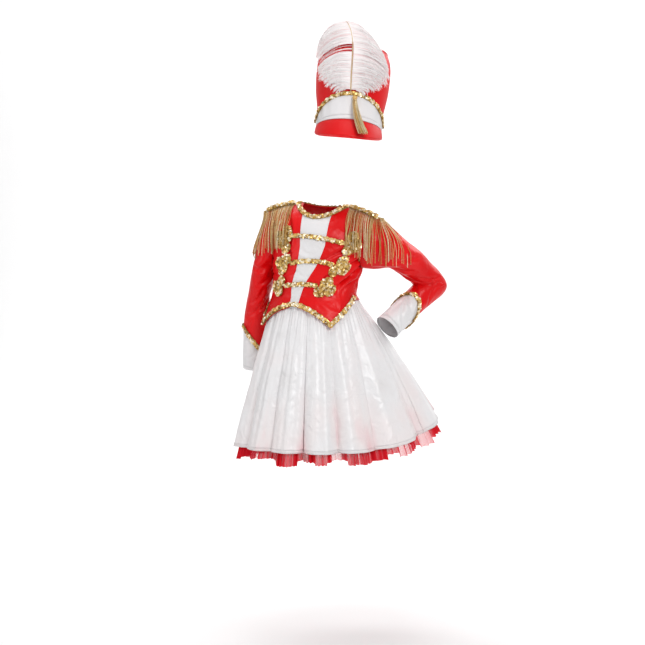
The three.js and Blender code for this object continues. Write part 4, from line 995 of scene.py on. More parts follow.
def foldedTube(arm, around, at, folds, softness):
    points = sleevePoint(arm, around, at)
    normals = gridNormals(points, True)
    middle = points.mean(1, keepdims=True)
    normals = normals * np.sign(np.mean(np.sum(normals * (points - middle), -1)))
    degrees = around * 360
    per, section, deep = sleeve["perDegree"], sleeve["perSection"], sleeve["deep"]
    rows = [
        (a * per, b * section, c * per, d * section, e * creaseShare, f * deep) for a, b, c, d, e, f in folds
    ]
    push = creases(degrees * per, at * section, rows) + creases((degrees - 360) * per, at * section, rows)
    wave = softNoise(3 + 2.2 * cosD(degrees) + at * 0.5, 9 + 2.2 * sinD(degrees) + at * 1.4, 11)
    push = push + wave * softness
    fade = smooth(0, 0.35, at)
    return points + normals * (push * fade)[..., None], normals


def makeSleeves():
    around = (np.arange(sleeve["around"]) / sleeve["around"])[None, :]
    for word, arm in arms.items():
        arm["table"] = sleeveTable(arm)
        ends = len(arm["table"]["at"]) - 1
        seam = rowFromEnd(arm, cuffLength(arm, around))
        share = np.linspace(0, 1, arm["rows"])[:, None]
        at = share**1.06 * seam
        points, normals = foldedTube(arm, np.broadcast_to(around, at.shape), at, arm["folds"], 1.1)
        part = clothPart(points, normals, closed=True)
        nodes = [f"sleeve_upper_{word.lower()}", f"sleeve_lower_{word.lower()}"]
        piece = buildPiece(f"sleeve{word}", [part], [redSatin], nodes, sleeve["wall"])
        top = rowFromEnd(arm, cuffLength(arm, around) - 0.6)
        at = lerp(top, ends, np.linspace(0, 1, sleeve["cuffRows"])[:, None])[::-1]
        points, normals = foldedTube(arm, np.broadcast_to(around, at.shape), at, arm["cuffFolds"], 0.7)
        hem = smooth(ends - 0.26, ends - 0.2, at) * 0.35
        part = clothPart(points + normals * hem[..., None], normals, closed=True)
        piece = buildPiece(
            f"cuff{word}", [part], [whiteSatin], [f"cuff_{word.lower()}"], sleeve["wall"]
        )


print("sleeves")
makeSleeves()

# Skirt of satin over a gathered net.

backSeam = skirt["phase"] + 6 * 360 / skirt["folds"]
# each gore: turn where it starts and ends, width of its satin and of its gathered net when laid flat
gores = {
    "FrontLeft": (skirt["phase"], 90.0, 0.40, 0.46),
    "BackLeft": (90.0, backSeam, 0.42, 0.48),
    "BackRight": (backSeam, 270.0, 0.42, 0.50),
    "FrontRight": (270.0, 360 + skirt["phase"], 0.40, 0.48),
}
skirtCloth = {
    "perDegree": 1.85, "rows": 84, "wall": 0.9, "drop": 0.39, "cover": 0.68, "raised": 0.035,
    "raisedAt": 115.0,
}
netCloth = {
    "perDegree": 3.4, "rows": 26, "top": 0.012, "reach": 1.083, "gap": 2.6, "gapGrowth": 6.3, "ruffle": 4.2,
    "drop": 0.41, "cover": 0.72,
}


# the net's lower edge is cut into uneven tabs, in one layer or several
netRandom = np.random.default_rng(44)
tabEdges = np.cumsum(netRandom.uniform(3.0, 9.0, 70))
tabLength = netRandom.uniform(-0.036, 0.008, 71)
tabLayers = netRandom.choice([0.28, 0.62, 0.75, 0.9], 71, p=[0.22, 0.22, 0.28, 0.28])


def goreTurns(start, end, perDegree):
    turns = np.linspace(start + 0.1, end - 0.1, int((end - start) * perDegree))[None, :]
    return turns, np.where(turns > backSeam, turns - 360, turns)


def makeSkirt():
    # fine tucks under the waist seam, lesser folds between the large ones, and a turned hem
    for word, (start, end, wide, _) in gores.items():
        w, place = goreTurns(start, end, skirtCloth["perDegree"])
        away = (w - skirtCloth["raisedAt"] + 180) % 360 - 180
        raised = skirtCloth["raised"] * np.exp(-((away / 26) ** 2))
        s = (1 - np.linspace(0, 1, skirtCloth["rows"]) ** 0.85)[:, None] * (1 - raised)
        tuck = np.sin(np.radians(78 * (w - skirt["phase"])) + 1.7 * sinD(5 * w))
        tuck = tuck * 0.95 * smooth(0.004, 0.03, s) * (1 - smooth(0.08, 0.42, s))
        lesser = np.sin(np.radians(29 * w) + 2.1 * sinD(4 * w) + 0.8 * s) * 1.5 * smooth(0.1, 0.8, s)
        turn = np.radians(47 * w) + 2.6 * np.sin(np.radians(3 * w) + 1)
        lesser += np.sin(turn) * 0.7 * smooth(0.05, 0.5, s)
        drape = softNoise(place * 0.11 + 40, s * 5 + 3, 21) * 1.3 * smooth(0.08, 0.4, s)
        drape += softNoise(place * 0.28 + 60, s * 11, 22) * 0.5
        hem = 0.8 * (1 - smooth(0.974, 0.98, s / (1 - raised))) - 0.9 * smooth(0.1, 0.5, s)
        points = skirtPoint(w, s, tuck + lesser + drape * smooth(0.03, 0.12, s) - hem)
        # painted pink reflection of the red net under the satin: near the hem, and most in the fold valleys,
        # the tone rises towards the last white stop, which is pink
        valley = 1 - (foldWave(w) + 1.3) / 2.6
        paintedNetReflection = np.clip(0.15 + 0.9 * valley + 0.4 * softNoise(place * 0.13 + 30, s * 4 + 9, 31), 0, 1)
        tone = 0.5 + 0.42 * smooth(0.5, 1.0, s) * paintedNetReflection + 0.05 * softNoise(place * 0.3 + 60, s * 7, 33)
        part = clothPart(points, xyz(sinD(w), -cosD(w), 0.0), tone=tone)
        node = nodeName(word)
        piece = buildPiece(
            f"skirt{word}", [part], [whiteSatin], [f"skirt_{node}"], skirtCloth["wall"]
        )


def nodeName(word):
    # frontLeft or FrontLeft becomes front_left
    return "".join("_" + c.lower() if c.isupper() else c for c in word).strip("_")


def makePetticoat():
    # the net follows the skirt inside it, its lower part gathered into close flat ruffles with ragged ends
    for word, (start, end, _, wide) in gores.items():
        w, place = goreTurns(start, end, netCloth["perDegree"])
        k = (1 - np.linspace(0, 1, netCloth["rows"]) ** 1.3)[:, None]
        tab = np.searchsorted(tabEdges, (place + 360) % 360)
        fray = 0.004 * softNoise(place * 1.1 + 407, place * 0 + 3.5, 41)
        length = netCloth["reach"] + tabLength[tab] + fray
        s = lerp(netCloth["top"], length, k)
        phase = np.radians(130 * w) + 1.9 * sinD(7 * w) + 1.1 * sinD(17 * w)
        pleat = np.tanh(2.2 * np.sin(phase + 1.5 * k)) * (0.75 + 0.25 * sinD(11 * w))
        ruffle = netCloth["ruffle"] * smooth(0.5, 1, s) * pleat
        gap = netCloth["gap"] + netCloth["gapGrowth"] * np.minimum(s, 1)
        gap = gap + netCloth["ruffle"] * smooth(0.5, 0.9, s)
        points = skirtPoint(w, s, ruffle - gap - 1)
        layers = tabLayers[tab] + 0.16 * softNoise(place * 0.5 + 60, s * 0.6, 43) + 0.07 * np.cos(phase)
        part = clothPart(points, xyz(sinD(w), -cosD(w), 0.0), tone=np.clip(layers, 0, 1))
        node = nodeName(word)
        piece = buildPiece(f"petticoat{word}", [part], [redNet], [f"petticoat_{node}"])


print("skirt and petticoat")
makeSkirt()
makePetticoat()

# Sequin braid: a backing ribbon under cupped sequins, in three rows on the dress and two on the hat.

braidCut = {
    "width": 13.0, "narrow": 10.0, "low": 1.5, "thick": 1.2, "sequin": 3.2, "pitch": 3.6, "sides": 8,
    "tilt": 30.0, "wave": 17.0,
}


def pathFrames(points, normals, closed):
    along = np.roll(points, -1, 0) - np.roll(points, 1, 0) if closed else np.gradient(points, axis=0)
    return unit(along), unit(np.cross(unit(along), normals))


def resampled(function, closed, step):
    # the path at even steps of its own length
    k = np.linspace(0, 1, 800, endpoint=not closed)
    points = function(k)[0]
    loop = np.concatenate([points, points[:1]]) if closed else points
    run = np.concatenate([[0], np.cumsum(np.linalg.norm(np.diff(loop, axis=0), axis=1))])
    target = np.linspace(0, run[-1], max(4, int(run[-1] / step)), endpoint=not closed)
    ks = np.concatenate([k, [1.0]]) if closed else k
    return function(np.interp(target, run, ks))


def ribbonPart(points, normals, closed, width, low, thick, scallop=0.0):
    # a low rounded section carried along the path
    along, across = pathFrames(points, normals, closed)
    n = len(points)
    half = width / 2 * (1 + scallop * np.sin(np.arange(n) * math.pi / 2))
    section = np.array([(-1, 0), (-0.96, 0.6), (-0.6, 1), (0.6, 1), (0.96, 0.6), (1, 0)])
    sideways = across[:, None] * (section[None, :, :1] * half[:, None, None])
    rings = points[:, None] + sideways + normals[:, None] * (low + section[None, :, 1:] * thick)
    m = len(section)
    i, k = np.meshgrid(np.arange(n if closed else n - 1), np.arange(m), indexing="ij")
    a, b = i * m + k, i * m + (k + 1) % m
    c, d = ((i + 1) % n) * m + (k + 1) % m, ((i + 1) % n) * m + k
    faces = np.stack([a.ravel(), b.ravel(), c.ravel(), d.ravel()], 1)
    if not closed:
        caps = np.array([[0, 3, 2, 1], [0, 5, 4, 3]])
        faces = np.concatenate([faces, caps, (n - 1) * m + caps[:, ::-1]])
    facing = np.cross(rings[:-1, 3] - rings[:-1, 2], rings[1:, 2] - rings[:-1, 2])
    if np.mean(np.sum(facing * normals[:-1], -1)) < 0:
        faces = faces[:, ::-1]
    uv = np.stack(np.broadcast_arrays(np.arange(n)[:, None] * 0.002, np.arange(m)[None, :] * 0.002), -1)
    return {"points": rings.reshape(-1, 3), "faces": faces, "uv": uv.reshape(-1, 2), "slot": 1}


def sequinPart(places, normals, along, radius, random):
    # cupped discs: a ring of points round a lower middle, tipped at random, closed below by a second middle
    n, sides = len(places), braidCut["sides"]
    tip = random.normal(0, math.radians(braidCut["tilt"]) / 1.6, (n, 2))
    side = np.cross(along, normals)
    face = unit(normals + along * np.tan(tip[:, :1]) + side * np.tan(tip[:, 1:]))
    first = unit(np.cross(face, side))
    second = np.cross(face, first)
    turn = np.arange(sides) / sides * 2 * math.pi
    size = radius * random.uniform(0.9, 1.1, n)[:, None, None]
    ring = places[:, None] + ringOf(first, second, turn) * size + face[:, None] * 0.35
    low, lower = places - face * 0.1, places - face * 0.45
    points = np.concatenate([ring, low[:, None], lower[:, None]], 1)
    k = np.arange(sides)
    top = np.stack([k, (k + 1) % sides, np.full(sides, sides)], 1)
    under = np.stack([(k + 1) % sides, k, np.full(sides, sides + 1)], 1)
    faces = (np.arange(n)[:, None, None] * (sides + 2) + np.concatenate([top, under])[None]).reshape(-1, 3)
    if np.sum(np.cross(points[0, 1] - points[0, 0], points[0, sides] - points[0, 0]) * face[0]) < 0:
        faces = faces[:, ::-1]
    # each sequin's tone at random from dark to near white: painted glints and painted dark reflections
    # standing in for what the metal reflects
    tone = np.repeat(np.clip(random.beta(0.9, 0.9, n), 0, 1), sides + 2)
    return {"points": points.reshape(-1, 3), "faces": faces, "tone": tone, "slot": 0}


def braidPiece(name, node, function, closed, seed, width, rows=3, proud=0.0):
    # the rows weave to and fro, so that the braid's edges are scalloped and its crests stand higher and catch
    # the light; the crests' sequins also get a painted highlight in their tone, and those in the troughs a
    # painted shade
    random = np.random.default_rng(seed)
    points, normals = resampled(function, closed, 2.2)
    ribbon = ribbonPart(points, normals, closed, width - 1.5, braidCut["low"], braidCut["thick"], 0.06)
    parts = []
    seats, out = resampled(function, closed, braidCut["pitch"])
    along, across = pathFrames(seats, out, closed)
    turns = np.arange(len(seats)) * braidCut["pitch"] / braidCut["wave"] * 2 * math.pi
    for row in range(rows):
        shift = (row - (rows - 1) / 2) * (width - 4.6) / rows
        turn = turns + row * 2.4
        wave = 1.1 * np.sin(turn)[:, None]
        jitter = random.normal(0, 0.35, (len(seats), 2))
        crest = 0.5 * np.cos(turn)[:, None] + 0.4 * (np.arange(len(seats)) % 2)[:, None]
        lift = braidCut["low"] + braidCut["thick"] + 0.8 + crest + proud
        place = seats + across * (shift + wave + jitter[:, :1])
        place = place + along * (jitter[:, 1:] + row * braidCut["pitch"] / 2) + out * lift
        discs = sequinPart(place, out, along, braidCut["sequin"], random)
        # painted highlight on the crests and painted shade in the troughs, added to each sequin's tone
        paintedCrestHighlight = np.repeat(0.22 * np.cos(turn), braidCut["sides"] + 2)
        parts.append({**discs, "tone": np.clip(discs["tone"] + paintedCrestHighlight, 0, 1)})
    return buildPiece(name, [*parts, ribbon], [sequins, backing], [node], smoothed=False)


def onBodice(t, h):
    return bodicePoint(t, h), bodiceNormal(t, h)


def neckPath(k):
    edge = braidCut["width"] / 2
    turn = k * 2 * math.pi
    x = (cut["neckHalf"] + edge) * np.sin(turn)
    face = np.where(np.cos(turn) > 0, cut["frontNeck"], cut["backNeck"])
    sag = np.abs(np.cos(turn))
    deep = (90 - face) * sag + edge * 0.9 * sag * 0.5
    h = np.minimum(cut["chest"] + cut["domeSteps"] * (90 - deep) / 90, ridge - 0.4)
    t = angleAt(x, h)
    return onBodice(np.where(np.cos(turn) > 0, t, 180 - t), h)


def forwardOf(x, forward):
    # angle and height of the dome's point at x that lies so far in front of the shoulder line
    t = angleAt(x, ridge)
    share = np.minimum(forward / (94.0 * cosD(t)), 1) ** (2 / cut["roundness"])
    return t, cut["chest"] + cut["domeSteps"] * np.degrees(np.arcsin(np.sqrt(1 - share))) / 90


# the shoulder braid: its start and end, how far in front of the shoulder line and over it, and its lean
shoulder = {"start": 15, "end": 2, "forward": 9.0, "over": 3.8, "lean": 0.85}


def shoulderPath(side):
    # the braid is sewn over the fringe's heading, which tips it forward
    def path(k):
        x = lerp(cut["neckHalf"] + shoulder["start"], cut["tip"] - shoulder["end"], k)
        t, h = forwardOf(x, shoulder["forward"])
        seat, normal = onBodice(side * t, h)
        return seat + normal * shoulder["over"], unit(normal + np.array([0.0, -shoulder["lean"], 0.0]))

    return path


def hemPath(k):
    t = lerp(-88, 88, k)
    return onBodice(t, hemHeight(t) + braidCut["width"] / 2)


def cuffPath(arm):
    def path(k):
        around = np.asarray(k, float) % 1
        at = rowFromEnd(arm, cuffLength(arm, around))
        here = sleevePoint(arm, around, at)
        alongU = sleevePoint(arm, (around + 0.01) % 1, at) - sleevePoint(arm, (around + 0.99) % 1, at)
        alongV = sleevePoint(arm, around, at + 0.1) - sleevePoint(arm, around, at - 0.1)
        out = unit(np.cross(alongU, alongV))
        table = arm["table"]
        middle = np.stack([(read(table, "o" + a, at) + read(table, "i" + a, at)) / 2 for a in "xyz"], -1)
        return here, out * np.sign(np.sum(out * (here - middle), -1, keepdims=True))

    return path


# Frogs: a bar of braid across the front with a three-lobed end at each side.

# each clover: its turn round the bodice, its height and its tilt; a bar: its height at both ends and between
frogs = [
    {
        "name": "top", "left": (48.5, -94.5, -8), "right": (-35.5, -88.0, 10), "bar": (-81.0, -84.0, -91.0),
        "lift": 0.65,
    },
    {
        "name": "middle", "left": (44.5, -146.0, -22), "right": (-34.5, -139.0, 12),
        "bar": (-138.0, -132.0, -141.0), "lift": 0.35,
    },
    {
        "name": "bottom", "left": (37.5, -197.5, -22), "right": (-33.5, -194.0, 0),
        "bar": (-193.0, -188.0, -191.0), "lift": 0.35,
    },
]
clover = {"size": 28.0, "waist": 0.52, "lobes": 3, "pitch": 4.0, "short": 0.82}


def perDegree(t, h):
    step = bodicePoint(np.array(t + 0.5), np.array(h)) - bodicePoint(np.array(t - 0.5), np.array(h))
    return float(np.linalg.norm(step))


def barEnd(end, side):
    return end[0] - side * clover["size"] * clover["short"] / perDegree(end[0], end[1])


def cloverOutline(angle, tilt):
    lobe = np.abs(np.cos(clover["lobes"] * (angle - math.radians(tilt)) / 2)) ** 0.8
    return clover["size"] * lerp(clover["waist"], 1, lobe)


def cloverPiece(frog, side, seed):
    random = np.random.default_rng(seed)
    word = "Left" if side > 0 else "Right"
    turn, height, tilt = frog[word.lower()]
    scale = perDegree(turn, height)

    def place(across, up):
        return onBodice(turn + side * across / scale, height + up)

    angle = np.linspace(0, 2 * math.pi, 72, endpoint=False)[None, :]
    share = np.array([0.02, 0.4, 0.75, 0.97, 1.0, 1.0])[:, None]
    lift = np.array([1.5, 1.5, 1.4, 1.1, 0.6, 0.0])[:, None] + 1.5 + frog["lift"]
    r = (cloverOutline(angle, tilt) - 1.2) * share
    points, normals = place(r * np.cos(angle), r * np.sin(angle))
    base = clothPart(points + normals * lift[..., None], normals, closed=True, slot=1)
    # sequins on a jittered triangular lattice, kept where they fall inside the outline
    step = clover["pitch"]
    i, j = np.meshgrid(np.arange(-8, 9), np.arange(-9, 10))
    x = (i + 0.5 * (j % 2)) * step + random.normal(0, 0.5, i.shape)
    y = j * step * 0.86 + random.normal(0, 0.5, i.shape)
    keep = np.hypot(x, y) < cloverOutline(np.arctan2(y, x), tilt) - 1.6
    x, y = x[keep], y[keep]
    seats, out = place(x, y)
    lift = 3.2 + frog["lift"] + 0.6 * (np.arange(len(x)) % 2)
    along = unit(np.cross(out, np.array([0.0, 0.0, 1.0])))
    discs = sequinPart(seats + out * lift[:, None], out, along, braidCut["sequin"], random)
    name, node = f"frogEnd{frog['name'].capitalize()}{word}", f"frog_end_{frog['name']}_{word.lower()}"
    return buildPiece(name, [discs, base], [sequins, backing], [node], smoothed=False)


def makeTrims():
    wide, narrow = braidCut["width"], braidCut["narrow"]
    braidPiece("neckBraid", "neck_braid", neckPath, True, 51, wide)
    braidPiece("hemBraid", "hem_braid", hemPath, False, 52, wide)
    for word, side in (("Left", 1), ("Right", -1)):
        low = word.lower()
        braidPiece(
            f"shoulderBraid{word}", f"shoulder_braid_{low}", shoulderPath(side), False, 53 + side, wide,
            proud=1.4,
        )
        braidPiece(
            f"cuffBraid{word}", f"cuff_braid_{low}", cuffPath(arms[word]), True, 56 + side, narrow + 1.5
        )
    for number, frog in enumerate(frogs):
        first, last = barEnd(frog["right"], -1), barEnd(frog["left"], 1)
        right, middle, left = frog["bar"]
        bend = 4 * (middle - (left + right) / 2)
        path = lambda k: onBodice(lerp(first, last, k), lerp(right, left, k) + k * (1 - k) * bend)
        name, node = f"frogBar{frog['name'].capitalize()}", f"frog_bar_{frog['name']}"
        braidPiece(name, node, path, False, 60 + number, wide - 1)
        for side in (1, -1):
            cloverPiece(frog, side, 70 + number * 2 + (side > 0))


print("braid and frogs")
makeTrims()

# Shoulder fringe: twisted cords that fall from the shoulder and rest on what is below.

fringe = {
    "straight": 34, "wrap": 18, "forward": 12.0, "tip": 136.0, "wrapAngle": 100.0, "overhang": 20.0,
    "length": 107.0, "levels": 15, "thick": 0.82, "clear": 4.2, "lift": 2.3, "heading": 3.0, "clump": 3,
    "inner": 0.13, "uneven": 0.06, "outward": 2.6, "drift": 3.0, "cling": 0.75, "sway": 1.6, "wave": 1.1,
}


def surfaceBelow(names):
    # one search tree over the shown pieces that a fringe rests on
    points, faces, offset = [], [], 0
    for name in names:
        mesh = bpy.data.objects[name].data
        co = np.empty(len(mesh.vertices) * 3, np.float32)
        mesh.vertices.foreach_get("co", co)
        points.append(co.reshape(-1, 3))
        faces += [[v + offset for v in polygon.vertices] for polygon in mesh.polygons]
        offset += len(mesh.vertices)
    return BVHTree.FromPolygons(np.concatenate(points).tolist(), faces)


def fringeRoots(side, count, wrapCount):
    # along the front of the shoulder line, then fanning round its tip
    x = np.linspace(cut["neckHalf"] + 17, fringe["tip"], count)
    t, h = forwardOf(x, fringe["forward"])
    seat, normal = onBodice(side * t, h)
    straight = seat + normal * fringe["lift"]
    tip = seat[-1]
    turn = np.radians(fringe["wrapAngle"] * (np.arange(wrapCount) + 1) / wrapCount)
    reach, lift = -tip[1], fringe["lift"]
    across = side * (fringe["overhang"] * np.sin(turn) + 1.5)
    swing = xyz(across, reach - (reach + lift) * np.cos(turn), lift - 4 * np.sin(turn))
    away = xyz(side * np.sin(turn), -np.cos(turn), 0.0)
    away = np.concatenate([np.tile([0.0, -1.0, 0.0], (count, 1)), away])
    return np.concatenate([straight, tip + swing]), away


def drapeOut(roots, away, drops, tree, clear):
    # how far out each strand must stand at each drop, never less than above
    far = 0.16
    out = np.zeros((len(roots), len(drops)))
    for i, (root, way) in enumerate(zip(roots * metre, away)):
        direction = Vector(way)
        for j, drop in enumerate(drops * metre):
            start = Vector(root) + direction * far - Vector((0, 0, drop))
            hit = tree.ray_cast(start, -direction, far * 1.2)
            if hit[0] is not None and j:
                out[i, j] = max(0.0, (far - hit[3]) / metre + clear)
    return np.maximum.accumulate(out, 1)


def strandPart(lines, radius, sides, random, tone):
    # many thin tubes at once: a small turning polygon carried down each line, closed at both ends
    n, levels = lines.shape[:2]
    along = unit(np.gradient(lines, axis=1))
    helper = np.broadcast_to(np.array([0.0, 1.0, 0.02]), along.shape)
    first = unit(np.cross(along, helper))
    second = np.cross(along, first)
    turn = np.arange(sides) / sides * 2 * math.pi
    twist = random.uniform(0, 6.28, (n, 1, 1)) + np.arange(levels)[None, :, None] * 0.9
    angle = turn[None, None, :] + twist
    r = np.broadcast_to(np.asarray(radius, float), (n, levels))[..., None]
    rings = lines[:, :, None] + ringOf(first, second, angle) * r[..., None]
    points = rings.reshape(-1, 3)
    i, j, k = np.meshgrid(np.arange(n), np.arange(levels - 1), np.arange(sides), indexing="ij")
    a = (i * levels + j) * sides + k
    b = (i * levels + j) * sides + (k + 1) % sides
    faces = np.stack([a.ravel(), b.ravel(), (b + sides).ravel(), (a + sides).ravel()], 1)
    if sides == 4:
        foot = (np.arange(n) * levels * sides)[:, None] + np.arange(4)[None, ::-1]
        last = (np.arange(n) * levels * sides + (levels - 1) * sides)[:, None] + np.arange(4)[None, :]
        faces = np.concatenate([faces, foot, last])
    probe = np.cross(rings[0, 0, 1] - rings[0, 0, 0], rings[0, 1, 0] - rings[0, 0, 0])
    if np.dot(probe, rings[0, 0, 0] - lines[0, 0]) < 0:
        faces = faces[:, ::-1]
    run = np.cumsum(np.linalg.norm(np.diff(lines, axis=1, prepend=lines[:, :1]), axis=-1), 1) * metre
    uv = np.stack(np.broadcast_arrays(turn[None, None, :] * 0.0002, run[..., None]), -1)
    return {
        "points": points, "faces": faces, "uv": uv.reshape(-1, 2), "tone": np.repeat(tone, levels * sides)
    }


def makeFringe():
    for word, side in (("Left", 1), ("Right", -1)):
        random = np.random.default_rng(90 + side)
        ends = [f"frogEnd{frog['name'].capitalize()}{word}" for frog in frogs]
        tree = surfaceBelow([f"bodiceFront{word}", f"sleeve{word}", f"bodiceBack{word}", *ends])
        roots, away = fringeRoots(side, fringe["straight"], fringe["wrap"])
        n, levels = len(roots), fringe["levels"]
        share = np.linspace(0, 1, levels)
        inner = 1 - fringe["inner"] * (1 - smooth(0.0, 0.35, np.arange(n) / n))
        length = fringe["length"] * random.normal(1, fringe["uneven"], n) * inner
        drops = fringe["length"] * share
        out = drapeOut(roots, away, drops, tree, fringe["clear"])
        for _ in range(3):
            out[:, 1:-1] = np.maximum(out[:, 1:-1], (out[:, :-2] + out[:, 2:]) / 2)
        out += random.uniform(0, fringe["outward"], (n, 1)) * smooth(0, 0.5, share)[None, :]
        sideways = np.cross(away, [0.0, 0.0, 1.0])
        # neighbouring cords cling together lower down and leave gaps between their bunches
        bunch = np.arange(n) // fringe["clump"]
        drift = random.normal(0, fringe["drift"], bunch.max() + 1)[bunch]
        toMiddle = (np.arange(n) % fringe["clump"] - (fringe["clump"] - 1) / 2) * fringe["cling"]
        sway = random.normal(0, fringe["sway"], n) + drift + toMiddle * side
        sway = sway[:, None] * share[None, :] ** 1.1
        size = random.normal(0, fringe["wave"], (n, 1)) * smooth(0, 0.3, share)[None, :]
        sway += size * np.sin(share[None, :] * 7 + random.uniform(0, 6.28, (n, 1)))
        lines = roots[:, None] + away[:, None] * out[..., None] + sideways[:, None] * sway[..., None]
        lines = lines - np.array([0.0, 0.0, 1.0]) * (length[:, None] * share[None, :])[..., None]
        radius = fringe["thick"] * random.uniform(0.8, 1.2, (n, 1)) * np.where(share > 0.97, 1.25, 1)[None, :]
        tone = np.clip(random.normal(0.58, 0.3, n), 0, 1)
        cords = strandPart(lines, radius, 4, random, tone)
        strip = ribbonPart(roots + [0, 0, 1.2], away, False, fringe["heading"], -1.2, 1.6)
        buildPiece(
            f"fringe{word}", [cords, strip], [goldCord, backing], [f"fringe_{word.lower()}"]
        )


print("fringe")
makeFringe()

# The hat, in its own frame: z up its axis from the middle of its lower edge, front towards -y.

hat = {
    "place": (61.0, 5.0, 190.0), "turn": 13.0, "roll": 5.0, "tip": -6.0, "wall": 1.6, "seam": 190.0,
    "dome": 19.0,
}
crown = tableOf(
    "at wide deep", [(0, 78, 95), (38, 81, 95), (90, 89, 99), (135, 91, 99), (168, 88, 96), (190, 80, 88)]
)
band = {"spread": 86.0, "low": 7.0, "height": 62.0, "wall": 1.2, "off": 2.2}
visor = {"spread": 84.0, "out": 30.0, "drop": 50.0, "wall": 1.6, "tilt": 0.5}
quill = tableOf("at x y z r", [
    (0, -4, -101.2, 74.8, 1.7), (0.2, -6, -107, 110, 1.6), (0.42, -7, -109, 150, 1.5),
    (0.62, -9, -105, 188, 1.3), (0.78, -15, -95, 220, 1.1), (0.9, -24, -80, 243, 0.9),
    (1, -31, -62, 254, 0.7),
])
vane = tableOf("at left right droop", [
    (0.02, 30, 28, 11), (0.1, 58, 52, 13), (0.2, 75, 66, 19), (0.33, 88, 78, 29), (0.5, 93, 82, 41),
    (0.7, 88, 84, 50), (0.85, 76, 76, 52), (0.93, 64, 66, 44), (1, 42, 44, 25),
])
hug = {"wide": 99.0, "deep": 104.0}


def hatToRow(points):
    # turns the hat's own points by tip, roll and turn, then sets them in place
    tip, roll, turn = (math.radians(hat[k]) for k in ("tip", "roll", "turn"))
    aboutX = np.array([[1, 0, 0], [0, math.cos(tip), -math.sin(tip)], [0, math.sin(tip), math.cos(tip)]])
    aboutY = np.array([[math.cos(roll), 0, math.sin(roll)], [0, 1, 0], [-math.sin(roll), 0, math.cos(roll)]])
    aboutZ = np.array([[math.cos(turn), -math.sin(turn), 0], [math.sin(turn), math.cos(turn), 0], [0, 0, 1]])
    matrix = aboutZ @ aboutY @ aboutX
    return points @ matrix.T + np.array(hat["place"])


def hatTurn(vectors):
    return hatToRow(vectors) - hatToRow(np.zeros(3))


def hatOut(a, points):
    # away from the hat's axis at each of the points
    return hatTurn(xyz(sinD(a), -cosD(a), 0.0) + 0 * points)


def crownPoint(a, z, off=0.0):
    wide, deep = read(crown, "wide", z) + off, read(crown, "deep", z) + off
    return xyz(wide * sinD(a), -deep * cosD(a), z)


def bandTop(a):
    return band["low"] + 3 + band["height"] * cosD(a * 90 / (band["spread"] + 2))


def bandLow(a):
    return band["low"] * cosD(a)


